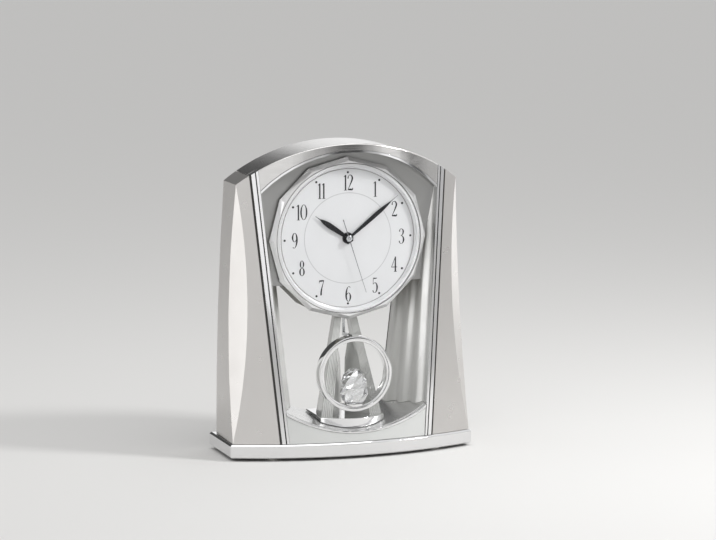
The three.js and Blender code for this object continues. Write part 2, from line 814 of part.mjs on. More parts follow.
function dialGlass() {
  const seat = dialFront - RING_RISE - FIT;
  const dome = (glassRadius ** 2 + GLASS_DOME ** 2) / (2 * GLASS_DOME);
  const steps = 4;
  const cap = (offset, at) => {
    const radius = glassRadius * at / steps;
    return [radius, seat - offset - GLASS_DOME + dome - Math.sqrt(dome ** 2 - radius ** 2)];
  };
  const outside = Array.from({ length: steps + 1 }, (_, i) => cap(GLASS_THICK, i));
  const inside = Array.from({ length: steps + 1 }, (_, i) => cap(0, steps - i));
  return turned([...outside, ...inside], 0, dialHeight, 32);
}

// Hands, drawn at twelve about the origin

function leafShape(length, belly) {
  const neck = belly / 2;
  const widest = length * 0.55;
  const waist = length * 0.86;
  const point = belly / 8;
  const shape = new THREE.Shape();
  shape.moveTo(neck, 0);
  shape.quadraticCurveTo(belly, widest * 0.75, belly, widest);
  shape.quadraticCurveTo(belly, length * 0.72, point, waist);
  shape.lineTo(point / 2, length);
  shape.lineTo(-point / 2, length);
  shape.lineTo(-point, waist);
  shape.quadraticCurveTo(-belly, length * 0.72, -belly, widest);
  shape.quadraticCurveTo(-belly, widest * 0.75, -neck, 0);
  return shape;
}

function leafHand(length, belly, front, pipe, rim) {
  const back = front + HAND_THICK;
  const blade = carried(leafShape(length, belly), front, back, 8);
  const boss = disc(pipe + rim, front, back, 0, 0, 24);
  return blade.add(boss).subtract(disc(pipe + FIT, deep, REACH, 0, 0, 20));
}

function secondHand() {
  const back = secondFront + SECOND_THICK;
  const wide = SECOND_WIDTH / 2;
  const point = SECOND_WIDTH / 4;
  const outline = polygon([
    [-wide, -SECOND_TAIL],
    [wide, -SECOND_TAIL],
    [point, secondLength],
    [-point, secondLength],
  ]);
  const boss = disc(SECOND_ARBOR + SECOND_RIM, secondFront, back, 0, 0, 20);
  const hole = disc(SECOND_ARBOR + FIT, deep, REACH, 0, 0, 20);
  return carried(outline, secondFront, back).add(boss).subtract(hole);
}

function handCap() {
  const base = secondFront - FIT;
  return turned([
    [0, base],
    [CAP_RADIUS, base],
    [CAP_RADIUS, base - CAP_RISE / 2],
    [CAP_RADIUS * 0.7, base - CAP_RISE],
    [0, base - CAP_RISE],
  ], 0, 0, 28);
}

// Movement

// A gear with pointed teeth and one tooth centred on the given bearing
function gearShape(teeth, module, bearing) {
  const pitch = teeth * module / 2;
  const tip = pitch + TOOTH_TIP * module;
  const root = pitch - TOOTH_ROOT * module;
  const step = 2 * Math.PI / teeth;
  const points = [];
  for (let i = 0; i < teeth; i += 1) {
    const centre = bearing + i * step;
    for (const [radius, turn] of [[root, -TOOTH_HALF], [tip, 0], [root, TOOTH_HALF]]) {
      points.push([radius * Math.cos(centre + turn * step), radius * Math.sin(centre + turn * step)]);
    }
  }
  return polygon(points);
}

function gear(teeth, module, bearing, front, thick, x, z) {
  return moved(carried(gearShape(teeth, module, bearing), front, front + thick), x, 0, z);
}

// Depths of the train, from the front plate back
const trainFront = shellFront + MOVEMENT_WALL;
const trainBack = shellBack - MOVEMENT_WALL;
const hourLayer = trainFront + GEAR_GAP;
const minuteLayer = hourLayer + PINION_THICK;
const centreLayer = minuteLayer + MOTION_LAYER;
const thirdLayer = centreLayer + TRAIN_LAYER;
const secondLayer = thirdLayer + TRAIN_LAYER;
const thirdX = trainDistance * Math.cos(radians(THIRD_BEARING));
const thirdZ = dialHeight + trainDistance * Math.sin(radians(THIRD_BEARING));

function hourWheel() {
  const wheel = gear(HOUR_TEETH, hourModule, Math.PI / HOUR_TEETH, hourLayer, GEAR_THICK, 0, dialHeight);
  const pipe = disc(hourTube, hourFront - FIT, hourLayer + GEAR_THICK, 0, dialHeight);
  return wheel.add(pipe).subtract(disc(centreTube + TUBE_PLAY, deep, REACH, 0, dialHeight));
}

function minuteWheel() {
  const x = motionDistance;
  const wheel = gear(MINUTE_TEETH, MODULE, Math.PI + Math.PI / MINUTE_TEETH,
    minuteLayer, GEAR_THICK, x, dialHeight);
  const length = PINION_THICK + 2 * PINION_LEAD;
  const pinion = gear(MINUTE_PINION, hourModule, Math.PI, hourLayer - PINION_LEAD, length, x, dialHeight);
  const arbor = disc(ARBOR, trainFront + FIT, centreLayer - 2 * FIT, x, dialHeight, 16);
  return joined(wheel, pinion, arbor);
}

function centreWheel() {
  const bearing = radians(THIRD_BEARING);
  const wheel = gear(CENTRE_TEETH, MODULE, bearing, centreLayer, GEAR_THICK, 0, dialHeight);
  const cannon = gear(CANNON_TEETH, MODULE, 0, minuteLayer - PINION_LEAD, PINION_THICK, 0, dialHeight);
  const pipe = disc(centreTube, minuteFront - FIT, centreLayer + GEAR_THICK, 0, dialHeight);
  return joined(wheel, cannon, pipe).subtract(disc(SECOND_ARBOR + TUBE_PLAY, deep, REACH, 0, dialHeight));
}

function thirdWheel() {
  const facing = radians(THIRD_BEARING) + Math.PI;
  const wheel = gear(THIRD_TEETH, secondModule, facing + Math.PI / THIRD_TEETH,
    thirdLayer, GEAR_THICK, thirdX, thirdZ);
  const pinion = gear(THIRD_PINION, MODULE, facing + Math.PI / THIRD_PINION,
    centreLayer - PINION_LEAD, PINION_THICK, thirdX, thirdZ);
  const arbor = disc(ARBOR, trainFront + FIT, trainBack - FIT, thirdX, thirdZ, 16);
  return joined(wheel, pinion, arbor);
}

function secondWheel() {
  const bearing = radians(THIRD_BEARING);
  const pinion = gear(SECOND_PINION, secondModule, bearing,
    thirdLayer - PINION_LEAD, PINION_THICK, 0, dialHeight);
  const wheel = gear(SECOND_TEETH, MODULE, 0, secondLayer, GEAR_THICK, 0, dialHeight);
  const arbor = disc(SECOND_ARBOR, secondFront, trainBack - FIT, 0, dialHeight, 20);
  return joined(wheel, pinion, arbor);
}

// The setting arbor turns the minute wheel and ends in a fluted knob behind the case
function settingKnob() {
  const x = settingDistance;
  const pinion = gear(SETTING_TEETH, MODULE, Math.PI, minuteLayer, GEAR_THICK, x, dialHeight);
  const arbor = disc(2 * ARBOR, minuteLayer, caseBack + 2 * SEAM, x, dialHeight, 20);
  const grip = gearShape(KNOB_FLUTES, 2 * KNOB_RADIUS / (KNOB_FLUTES + 2), 0);
  const knob = carried(grip, caseBack + SEAM, caseBack + SEAM + KNOB_THICK);
  return joined(pinion, arbor, moved(knob, x, 0, dialHeight));
}

const half = MOVEMENT_SIDE / 2;
const bayRoof = movementLow + BAY_HEIGHT;

// The front shell carries the bush, the battery bay and two posts for the motor
function movementFront() {
  const shell = block(-half, half, shellFront, shellSplit, movementLow, movementHigh);
  const inside = half - MOVEMENT_WALL;
  const room = block(-inside, inside, trainFront, REACH, bayRoof + MOVEMENT_WALL, movementHigh - MOVEMENT_WALL);
  const bay = block(-inside, inside, trainFront, REACH, movementLow + MOVEMENT_WALL, bayRoof);
  const bush = disc(bushRadius, dialFront - NUT_THICK, trainFront, 0, dialHeight);
  const bore = disc(hourTube + TUBE_PLAY, deep, REACH, 0, dialHeight);
  const posts = [coreLeft + POST, statorRight - POST].map((x) => {
    return disc(POST, trainFront - FIT, motorFront - FIT, x, coilHeight, 12);
  });
  return joined(shell.subtract(room).subtract(bay), bush, ...posts).subtract(bore);
}

function movementBack() {
  const low = bayRoof + FIT;
  const shell = block(-half, half, shellSplit, shellBack, low, movementHigh);
  const inside = half - MOVEMENT_WALL;
  const room = block(-inside, inside, deep, trainBack, low + MOVEMENT_WALL, movementHigh - MOVEMENT_WALL);
  const hole = disc(2 * ARBOR + TUBE_PLAY, deep, REACH, settingDistance, dialHeight, 20);
  return shell.subtract(room).subtract(hole);
}

function fixingNut() {
  const front = dialFront - NUT_THICK;
  const body = solid(new THREE.CylinderGeometry(nutRadius, nutRadius, NUT_THICK, 6)
    .translate(0, (front + dialFront) / 2, dialHeight));
  return body.subtract(disc(bushRadius + FIT, deep, REACH, 0, dialHeight));
}

const thirdTip = (THIRD_TEETH / 2 + TOOTH_TIP) * secondModule;
const coilHeight = thirdZ + thirdTip + MOTOR_CLEAR + MOTOR_COIL;
const coilDepth = shellSplit - MOTOR_COIL;
const coreLeft = MOTOR_X - MOTOR_CORE / 2;
const coreRight = MOTOR_X + MOTOR_CORE / 2;
const statorRight = coreRight + FIT + STATOR_LENGTH;
const motorFront = coilDepth - MOTOR_PLATE / 2;

function motorCoil() {
  const geometry = new THREE.CylinderGeometry(MOTOR_COIL, MOTOR_COIL, MOTOR_WINDING, 20);
  const winding = solid(geometry.rotateZ(Math.PI / 2).translate(MOTOR_X, coilDepth, coilHeight));
  const rise = MOTOR_COIL / 2;
  const core = block(coreLeft, coreRight, motorFront, motorFront + MOTOR_PLATE,
    coilHeight - rise, coilHeight + rise);
  return winding.add(core);
}

function motorStator() {
  const bar = block(coreRight + FIT, statorRight, motorFront, motorFront + MOTOR_PLATE,
    coilHeight - MOTOR_COIL, coilHeight + MOTOR_COIL);
  return bar.subtract(disc(ROTOR_HOLE, deep, REACH, (coreRight + statorRight) / 2, coilHeight));
}

function circuitBoard() {
  const back = trainBack - FIT;
  const high = movementHigh - MOVEMENT_WALL - FIT;
  const right = half - MOVEMENT_WALL - FIT;
  return block(right - BOARD_LENGTH, right, back - BOARD_THICK, back, high - BOARD_HEIGHT, high);
}

// Battery, its contacts and its door

const cellDepth = trainFront + CELL_RADIUS + FIT;
const cellHeight = movementLow + MOVEMENT_WALL + CELL_RADIUS + FIT;
const cellLeft = -CELL_LENGTH / 2 + CELL_SHIFT;
const cellRight = cellLeft + CELL_LENGTH;

function alongX(radius, from, to, segments = 24) {
  const geometry = new THREE.CylinderGeometry(radius, radius, to - from, segments).rotateZ(Math.PI / 2);
  return solid(geometry.translate((from + to) / 2, cellDepth, cellHeight));
}

function battery() {
  return alongX(CELL_RADIUS, cellLeft, cellRight - CELL_TIP_LENGTH)
    .add(alongX(CELL_TIP, cellRight - CELL_TIP_LENGTH, cellRight, 20));
}

function contact(from) {
  const low = movementLow + MOVEMENT_WALL + FIT;
  const front = trainFront + FIT;
  return block(from, from + CONTACT_THICK, front, front + CONTACT_DEPTH, low, low + CONTACT_HEIGHT);
}

function batteryPlate() {
  return contact(half - MOVEMENT_WALL - CONTACT_THICK - FIT);
}

// A conical wire spring against the flat end of the cell
function batterySpring() {
  const back = -half + MOVEMENT_WALL + FIT;
  const plate = contact(back);
  const turns = 2 * Math.PI * SPRING_COILS;
  const start = back + CONTACT_THICK - SPRING_WIRE / 2;
  const length = cellLeft - FIT - SPRING_WIRE - start;
  class Coil extends THREE.Curve {
    getPoint(t, target = point3(0, 0, 0)) {
      const radius = SPRING_WIDE + (SPRING_TIP - SPRING_WIDE) * t;
      const angle = turns * t;
      const x = start + length * t;
      return target.set(x, cellDepth + radius * Math.cos(angle), cellHeight + radius * Math.sin(angle));
    }
  }
  const section = new THREE.Shape();
  section.absarc(0, 0, SPRING_WIRE, 0, 2 * Math.PI, false);
  const wire = new THREE.ExtrudeGeometry(section, {
    steps: 12 * SPRING_COILS,
    curveSegments: 3,
    extrudePath: new Coil(),
  });
  return plate.add(solid(wire));
}

const doorLow = movementLow - (DOOR_HEIGHT - BAY_HEIGHT) / 2;

function backCover() {
  const plate = carried(caseShape(WALL + SEAM), housingBack, caseBack);
  const upper = block(-REACH, REACH, deep, REACH, panelFoot, REACH);
  const sheet = plate.intersect(upper).intersect(carried(betweenStrips(WALL + 2 * SEAM), deep, REACH));
  const drum = prism(housingRadius, housingBack, caseBack);
  const hatchHalf = DOOR_WIDTH / 2 - HATCH_SIDE;
  const hatch = block(-hatchHalf, hatchHalf, deep, REACH,
    doorLow + HATCH_END, doorLow + DOOR_HEIGHT - HATCH_END);
  const knobHole = disc(2 * ARBOR + TUBE_PLAY, deep, REACH, settingDistance, dialHeight, 20);
  const rails = [-1, 1].map((side) => {
    const inner = side * (DOOR_WIDTH / 2 + SEAM);
    const outer = inner + side * RAIL_WIDTH;
    const lip = inner - side * RAIL_WIDTH / 2;
    const back = caseBack + DOOR_THICK + 2 * SEAM;
    const x = [inner, outer].sort((a, b) => a - b);
    const hook = [lip, outer].sort((a, b) => a - b);
    const web = block(x[0], x[1], caseBack, back, doorLow, doorLow + DOOR_HEIGHT);
    return web.add(block(hook[0], hook[1], back, back + RAIL_LIP, doorLow, doorLow + DOOR_HEIGHT));
  });
  return joined(sheet.add(drum).subtract(hatch).subtract(knobHole), ...rails);
}

// The door slides down between its rails; ridges give the thumb a hold
function batteryDoor() {
  const front = caseBack + SEAM;
  const side = DOOR_WIDTH / 2;
  const plate = block(-side, side, front, front + DOOR_THICK, doorLow, doorLow + DOOR_HEIGHT);
  const grip = RIDGE_LENGTH / 2;
  const ridges = Array.from({ length: RIDGES }, (_, i) => {
    const high = doorLow + DOOR_HEIGHT - RIDGE_MARGIN - RIDGE_PITCH * i;
    return block(-grip, grip, front, front + DOOR_THICK + RIDGE_RISE, high - RIDGE_WIDTH, high);
  });
  return joined(plate, ...ridges);
}

// Support

function pendulumStage() {
  const radius = (STAGE_HALF ** 2 + STAGE_NOSE ** 2) / (2 * STAGE_NOSE);
  const back = stageFront + STAGE_DEPTH;
  const spread = Math.asin(STAGE_HALF / radius);
  const shape = new THREE.Shape();
  shape.absarc(0, stageFront + radius, radius, -Math.PI / 2 - spread, -Math.PI / 2 + spread, false);
  shape.lineTo(STAGE_HALF, back);
  shape.lineTo(-STAGE_HALF, back);
  return raised(shape, 0, stageTop, 8).intersect(climbing(carried(windowShape(SEAM), deep, REACH)));
}

// Plan section of the right leg: a ribbed face to the front, and a body that draws in behind it
function legSection(z) {
  const drop = (legTop - z) / (legTop - stageTop);
  const outerX = LEG_TOP_HALF + (LEG_FOOT_HALF - LEG_TOP_HALF) * drop;
  const outerY = legFront - LEG_LEAN * (legTop - z);
  const face = LEG_FACE_TOP + (LEG_FACE_FOOT - LEG_FACE_TOP) * drop;
  const depth = LEG_DEPTH_TOP + (LEG_DEPTH_FOOT - LEG_DEPTH_TOP) * drop;
  const points = [];
  for (let i = 0; i <= 2 * LEG_RIBS; i += 1) {
    const rib = i % 2 === 1 ? RIB_DEPTH : 0;
    points.push(point3(outerX - face * i / (2 * LEG_RIBS), outerY + rib, z));
  }
  const tuck = Math.max(0, drop - LEG_TUCK_START) * LEG_TUCK;
  points.push(point3(Math.max(LEG_HEEL, outerX - face - tuck), outerY + depth, z));
  points.push(point3(outerX - LEG_TAPER * depth, outerY + depth, z));
  return points;
}

function supportLeg() {
  const heights = [0, 0.25, 0.5, 0.75, 1].map((t) => stageTop + t * (legTop + LEG_OVERLAP - stageTop));
  return lofted(heights.map(legSection)).subtract(prism(housingRadius + SEAM, deep, REACH));
}

// Pendulum, hanging straight down

const magnetHeight = pivotHeight - MAGNET_DROP;
const cheekFront = rodBack + MAGNET_THICK + MAGNET_GAP;
const bracketFront = rodFront - PIVOT_ROOM - BRACKET_THICK;

function pendulumBracket() {
  const back = cheekFront + BRACKET_THICK;
  const web = block(-BRACKET_HALF, BRACKET_HALF, bracketFront, back, movementLow - BRACKET_THICK, movementLow);
  const near = block(-BRACKET_HALF / 2, BRACKET_HALF / 2, bracketFront, bracketFront + BRACKET_THICK,
    pivotHeight - EYE_RADIUS, movementLow);
  const far = block(-BRACKET_HALF, BRACKET_HALF, cheekFront, back, magnetHeight - COIL_RADIUS, movementLow);
  const pivot = disc(PIVOT_PIN + FIT, deep, REACH, 0, pivotHeight, 16);
  return joined(web, near, far).subtract(pivot);
}

function pivotPin() {
  return disc(PIVOT_PIN, bracketFront, cheekFront + BRACKET_THICK, 0, pivotHeight, 16);
}

function pendulumRod() {
  const eye = disc(EYE_RADIUS, rodFront, rodBack, 0, pivotHeight, 24);
  const wide = ROD_WIDTH / 2;
  const ringTop = ringCentre + RING_RADIUS - RING_STEP;
  const armFoot = ringCentre + RING_BORE + RING_STEP / 2;
  const stem = block(-wide, wide, rodFront, rodBack, armFoot, pivotHeight);
  const arm = block(-wide, wide, ringBack, rodBack, armFoot, ringTop);
  return joined(eye, stem, arm).subtract(disc(PIVOT_PIN + FIT, deep, REACH, 0, pivotHeight, 16));
}

function pendulumMagnet() {
  return disc(MAGNET_RADIUS, rodBack, rodBack + MAGNET_THICK, 0, magnetHeight, 24);
}

function pendulumCoil() {
  const front = cheekFront + BRACKET_THICK;
  const winding = disc(COIL_RADIUS, front, front + COIL_LENGTH, 0, magnetHeight, 28);
  return winding.subtract(disc(COIL_BORE, deep, REACH, 0, magnetHeight, 16));
}

function pendulumRing() {
  const step = RING_STEP;
  const middle = (RING_RADIUS + RING_BORE) / 2;
  return turned([
    [RING_BORE, ringFront + 2 * step],
    [RING_BORE + step, ringFront + step],
    [middle - step / 2, ringFront + step],
    [middle, ringFront],
    [RING_RADIUS - step, ringFront],
    [RING_RADIUS, ringFront + step],
    [RING_RADIUS, ringBack - step / 2],
    [RING_RADIUS - step / 2, ringBack],
    [RING_BORE, ringBack],
  ], 0, ringCentre, 44);
}

// The cup lies in the bottom of the ring and holds the crystal's foot
function crystalCup() {
  const low = ringCentre - RING_BORE;
  const depth = (ringFront + ringBack) / 2;
  const geometry = new THREE.CylinderGeometry(CUP_RADIUS, CUP_RADIUS, 2 * CUP_RISE, 28);
  const cup = solid(geometry.rotateX(Math.PI / 2).translate(0, depth, low + CUP_RISE - FIT));
  const top = block(-REACH, REACH, deep, REACH, 0, crystalFoot - FIT);
  return cup.intersect(top).intersect(disc(RING_BORE - FIT, deep, REACH, 0, ringCentre, 48));
}

// Rings of points, each turned half a step from the last, make the cut faces
function crystal() {
  const depth = (ringFront + ringBack) / 2;
  const lower = [[0.55, 0], [0.8, 0.07], [1, 0.28], [0.88, 0.46]];
  const upper = [[0.9, 0.62], [0.72, 0.82], [0.4, 0.95], [0.2, 1]];
  const rings = [...lower, ...upper].map(([share, rise], row) => {
    const radius = CRYSTAL_RADIUS * share;
    return Array.from({ length: CRYSTAL_SIDES }, (_, i) => {
      const angle = 2 * Math.PI * (i + row / 2) / CRYSTAL_SIDES;
      const z = crystalFoot + CRYSTAL_HEIGHT * rise;
      return point3(radius * Math.cos(angle), depth + radius * Math.sin(angle), z);
    });
  });
  return lofted(rings);
}

// Assembly

const clock = new THREE.Group();

const FINISHES = {
  satinSilver: { color: 0xc8c5c0, roughness: 0.35, metalness: 0.8 },
  chrome: { color: 0xe6e6e8, roughness: 0.06, metalness: 1 },
  satinChrome: { color: 0xbfbcb8, roughness: 0.22, metalness: 1 },
  greyPanel: { color: 0x92918f, roughness: 0.4, metalness: 0.5 },
  paleGloss: { color: 0xd9dad8, roughness: 0.18, metalness: 0.3 },
  darkPlastic: { color: 0x2b2b2d, roughness: 0.6, metalness: 0 },
  dialWhite: { color: 0xe1e1e2, roughness: 0.5, metalness: 0 },
  handBlack: { color: 0x17181a, roughness: 0.35, metalness: 0.2 },
  steel: { color: 0xb4b6b8, roughness: 0.3, metalness: 1 },
  brass: { color: 0xc3a25a, roughness: 0.35, metalness: 1 },
  glass: { color: 0xf4f8fa, roughness: 0.02, metalness: 0 },
  copper: { color: 0xb06a3a, roughness: 0.4, metalness: 0.8 },
  board: { color: 0x2f6b46, roughness: 0.5, metalness: 0 },
  cell: { color: 0x4a4c50, roughness: 0.4, metalness: 0.4 },
  rubber: { color: 0x8d8a84, roughness: 0.8, metalness: 0 },
};

function place(name, body, finish, group = clock) {
  const geometry = geometryOf(body).toNonIndexed();
  geometry.computeVertexNormals();
  const mesh = new THREE.Mesh(geometry, new THREE.MeshStandardMaterial(FINISHES[finish]));
  mesh.name = name;
  group.add(mesh);
}

function placePair(name, body, finish) {
  place(`right_${name}`, body, finish);
  place(`left_${name}`, mirrored(body), finish);
}

function placeHand(parts, angle) {
  const group = new THREE.Group();
  group.position.z = dialHeight;
  group.rotation.y = radians(angle);
  clock.add(group);
  for (const [name, body, finish] of parts) {
    place(name, body, finish, group);
  }
}

place('base_plinth', basePlinth(), 'chrome');
place('base_plate', basePlate(), 'darkPlastic');
const footX = BASE_WIDTH / 2 - FOOT_SIDE;
const plinthSag = BOW_RADIUS + BASE_LIP - Math.sqrt((BOW_RADIUS + BASE_LIP) ** 2 - footX ** 2);
const footFront = baseFront + plinthSag + BASE_WALL + FOOT_INSET + FOOT_RADIUS;
const footBack = BASE_DEPTH / 2 - BASE_WALL - FOOT_INSET - FOOT_RADIUS;
placePair('front_foot', foot(footX, footFront), 'rubber');
placePair('rear_foot', foot(footX, footBack), 'rubber');

placePair('pillar', pillar(), 'satinSilver');
placePair('pillar_back', pillarBack(), 'darkPlastic');
placePair('trim_strip', strip(), 'chrome');
place('arch_top', archTop(), 'satinChrome');
place('arch_trim', archTrim(), 'chrome');
place('front_apron', frontApron(), 'paleGloss');
place('rear_apron', rearApron(), 'darkPlastic');
place('tray_trim', trayTrim(), 'chrome');
place('floor_tray', floorTray(), 'satinChrome');
placePair('inner_wall', innerWall(), 'chrome');
place('upper_panel', upperPanel(), 'greyPanel');

place('dial_housing', dialHousing(), 'satinChrome');
place('bezel', bezel(), 'chrome');
place('dial_ring', dialRing(), 'chrome');
place('dial', dial(), 'dialWhite');
place('dial_glass', dialGlass(), 'glass');
const hourHand = leafHand(HOUR_LENGTH, HOUR_BELLY, hourFront, hourTube, HOUR_RIM);
const minuteHand = leafHand(minuteLength, MINUTE_BELLY, minuteFront, centreTube, MINUTE_RIM);
placeHand([['hour_hand', hourHand, 'handBlack']], HOUR_ANGLE);
placeHand([['minute_hand', minuteHand, 'handBlack']], MINUTE_ANGLE);
placeHand([['second_hand', secondHand(), 'steel'], ['hand_cap', handCap(), 'steel']], SECOND_ANGLE);

place('movement_front', movementFront(), 'darkPlastic');
place('movement_back', movementBack(), 'darkPlastic');
place('fixing_nut', fixingNut(), 'brass');
place('hour_wheel', hourWheel(), 'brass');
place('minute_wheel', minuteWheel(), 'brass');
place('centre_wheel', centreWheel(), 'brass');
place('third_wheel', thirdWheel(), 'brass');
place('second_wheel', secondWheel(), 'steel');
place('setting_knob', settingKnob(), 'darkPlastic');
place('motor_coil', motorCoil(), 'copper');
place('motor_stator', motorStator(), 'steel');
place('circuit_board', circuitBoard(), 'board');
place('battery', battery(), 'cell');
place('battery_plate', batteryPlate(), 'steel');
place('battery_spring', batterySpring(), 'steel');
place('back_cover', backCover(), 'darkPlastic');
place('battery_door', batteryDoor(), 'darkPlastic');

place('pendulum_stage', pendulumStage(), 'chrome');
placePair('support_leg', supportLeg(), 'satinChrome');
place('pendulum_bracket', pendulumBracket(), 'darkPlastic');
place('pivot_pin', pivotPin(), 'steel');
place('pendulum_rod', pendulumRod(), 'steel');
place('pendulum_magnet', pendulumMagnet(), 'steel');
place('pendulum_coil', pendulumCoil(), 'copper');
place('pendulum_ring', pendulumRing(), 'chrome');
place('crystal_cup', crystalCup(), 'chrome');
place('crystal', crystal(), 'glass');

export default clock;
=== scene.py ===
# A silver table clock: finishes, dial print, fine edges, light and camera. Metres, +Z up, -Y to the front.

import math

import bmesh
import bpy
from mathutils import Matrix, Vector

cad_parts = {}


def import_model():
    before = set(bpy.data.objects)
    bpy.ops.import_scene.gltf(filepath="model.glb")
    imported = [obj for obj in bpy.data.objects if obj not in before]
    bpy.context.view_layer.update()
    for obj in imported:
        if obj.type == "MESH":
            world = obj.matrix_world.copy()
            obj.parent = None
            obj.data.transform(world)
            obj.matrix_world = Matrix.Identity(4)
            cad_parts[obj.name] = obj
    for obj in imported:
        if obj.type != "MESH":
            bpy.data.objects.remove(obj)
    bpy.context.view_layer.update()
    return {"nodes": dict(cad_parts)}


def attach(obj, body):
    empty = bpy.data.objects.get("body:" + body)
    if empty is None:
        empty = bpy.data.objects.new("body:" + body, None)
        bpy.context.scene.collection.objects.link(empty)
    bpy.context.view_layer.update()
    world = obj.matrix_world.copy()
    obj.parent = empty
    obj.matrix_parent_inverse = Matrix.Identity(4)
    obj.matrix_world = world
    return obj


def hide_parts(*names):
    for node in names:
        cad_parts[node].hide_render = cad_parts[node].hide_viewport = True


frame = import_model()

MM = 0.001
CASE = "case"

# Sizes shared with the solids, in millimetres
DIAL_CENTRE = 160.9
DIAL_FRONT = -6.0
DIAL_BACK = -5.0
DIAL_RADIUS = 53.5
DIAL_OPENING = 52.0
DIAL_HOLE = 4.3
DIAL_LINE = 33.8
BEZEL_BACK = -5.9
BEZEL_RIM = -6.5
BEZEL_FRONT = -9.5
BEZEL_RADIUS = 61.0
BEZEL_BORE = 56.2
BEZEL_SIDES = 12
BEZEL_PLAY = 0.02
BEZEL_EASE = 0.18
RING_OUTER = 55.95
RING_FRONT = -9.0
RING_EDGE = 0.15
GLASS_RADIUS = 55.0
GLASS_SEAT = -9.15
GLASS_THICK = 1.4
GLASS_DOME = 6.0
CAP_RADIUS = 2.3
CAP_BACK = -9.55
CAP_RISE = 0.7
CAP_SHOULDER = 0.3
CAP_SLOPE = 0.5
PENDULUM_CENTRE = 61.5
PENDULUM_RADIUS = 28.4
PENDULUM_BORE = 24.2
PENDULUM_FRONT = -25.0
PENDULUM_BACK = -16.0
PENDULUM_STEP = 1.0
PENDULUM_RIDGE = 0.15
BASE_TOP = 12.5
STRIP_FOOT = 59.4
STRIP_SLOPE = 0.085
STRIP_REBATE = 1.15
STRIP_GROOVE = (-4.65, -3.95)
STRIP_WIDTH = 6.4
STRIP_EASE = 0.15
SEAM = 0.25
CASE_FRONT = -35.1
CASE_LEAN = 0.078
BOW_RADIUS = 240.0
TRAY_LOW = 20.6
TRAY_RADIUS = 106.6
TRAY_CLIMB = 0.066
TRAY_UNDER = 108.85
PANEL_FOOT = 127.0
PANEL_FRONT = -3.5
WALL_FRONT_GAP = 6.5
WALL_BACK = 26.25
WALL_THICK = 2.0
WALL_LIMIT = 200.0
FLUTES = 3
FLUTE_DEPTH = 2.2
PLATE_STEP = 59.3
PLATE_STEP_RUN = 0.1
PLATE_FOOT = 15.5
PLATE_FOOT_ZONE = 0.5
PLATE_EDGE_ZONE = 1.2
PLATE_EASE = 0.20
APRON_FOOT_ZONE = 2.0

# The window's half width at the back: upright as in the solids, and drawn in as the walls lean
SOLID_FOOT, SOLID_SLOPE = 38.0, 0.045
DRAWN_FOOT, DRAWN_SLOPE = 35.6, 0.117

# Thin lines on the dial: width, and how far each stands in front. The inner line is print; the edge line and
# the bezel line are painted shade in the seams at the dial's edge and between the ring and the bezel.
LINE_THICK = 0.1
INNER_LINE = 0.6
INNER_LINE_PROUD = 0.02
EDGE_SHADE_START, EDGE_SHADE_END = 0.4, 0.02
EDGE_SHADE_PROUD = 0.12
BEZEL_SHADE_WIDTH = 0.3
BEZEL_SHADE_PROUD = 0.1

# Numerals and dots
NUMERAL_RADIUS = 41.7
NUMERAL_HEIGHT = 11.5
DOT_RADIUS = 49.1
DOT_SIZE = 0.86
PRINT_THICK = 0.06
PRINT_SINK = 0.004
PEN_WEIGHT = 1.35
PRINT_SHIFT = (0.35, -0.3)
DIGIT_ROOM = 0.4

# Angles between faces that count as flat or as an edge, in degrees
FLAT_ANGLE = 0.5
EDGE_ANGLE = 28
BEZEL_EDGE_ANGLE = 12


# Node materials

def new_material(name):
    material = bpy.data.materials.new(name)
    material.use_nodes = True
    nodes = material.node_tree.nodes
    return material, nodes, material.node_tree.links, nodes["Principled BSDF"]


def noise_at(nodes, links, scale, detail=3.0, stretch=(1, 1, 1)):
    """Noise on the piece's own coordinates, stretched along its axes."""
    place = nodes.new("ShaderNodeTexCoord")
    mapping = nodes.new("ShaderNodeMapping")
    mapping.inputs["Scale"].default_value = stretch
    links.new(place.outputs["Object"], mapping.inputs["Vector"])
    noise = nodes.new("ShaderNodeTexNoise")
    noise.inputs["Scale"].default_value = scale
    noise.inputs["Detail"].default_value = detail
    links.new(mapping.outputs["Vector"], noise.inputs["Vector"])
    return noise.outputs["Fac"]


def ranged(nodes, links, source, low, high):
    span = nodes.new("ShaderNodeMapRange")
    span.inputs["From Min"].default_value = 0.3
    span.inputs["From Max"].default_value = 0.7
    span.inputs["To Min"].default_value = low
    span.inputs["To Max"].default_value = high
    links.new(source, span.inputs["Value"])
    return span.outputs["Result"]


def tinted(nodes, links, source, dark, light):
    ramp = nodes.new("ShaderNodeValToRGB")
    ramp.color_ramp.elements[0].position = 0.3
    ramp.color_ramp.elements[1].position = 0.7
    ramp.color_ramp.elements[0].color = (*dark, 1)
    ramp.color_ramp.elements[1].color = (*light, 1)
    links.new(source, ramp.inputs["Fac"])
    return ramp.outputs["Color"]


def bumped(nodes, links, shader, source, strength, distance):
    bump = nodes.new("ShaderNodeBump")
    bump.inputs["Strength"].default_value = strength
    bump.inputs["Distance"].default_value = distance
    links.new(source, bump.inputs["Height"])
    links.new(bump.outputs["Normal"], shader.inputs["Normal"])


def surface(name, dark, light, rough, metallic, tint_scale, grain=None, stretch=(1, 1, 1), coat=0.0):
    """A finish whose colour drifts softly, whose gloss varies and whose grain is fine."""
    material, nodes, links, shader = new_material(name)
    drift = noise_at(nodes, links, tint_scale, 2.0, stretch)
    links.new(tinted(nodes, links, drift, dark, light), shader.inputs["Base Color"])
    smudge = noise_at(nodes, links, tint_scale * 3, 4.0, stretch)
    links.new(ranged(nodes, links, smudge, *rough), shader.inputs["Roughness"])
    shader.inputs["Metallic"].default_value = metallic
    shader.inputs["Coat Weight"].default_value = coat
    shader.inputs["Coat Roughness"].default_value = 0.08
    if grain:
        scale, strength, distance = grain
        bumped(nodes, links, shader, noise_at(nodes, links, scale, 2.0, stretch), strength, distance)
    return material


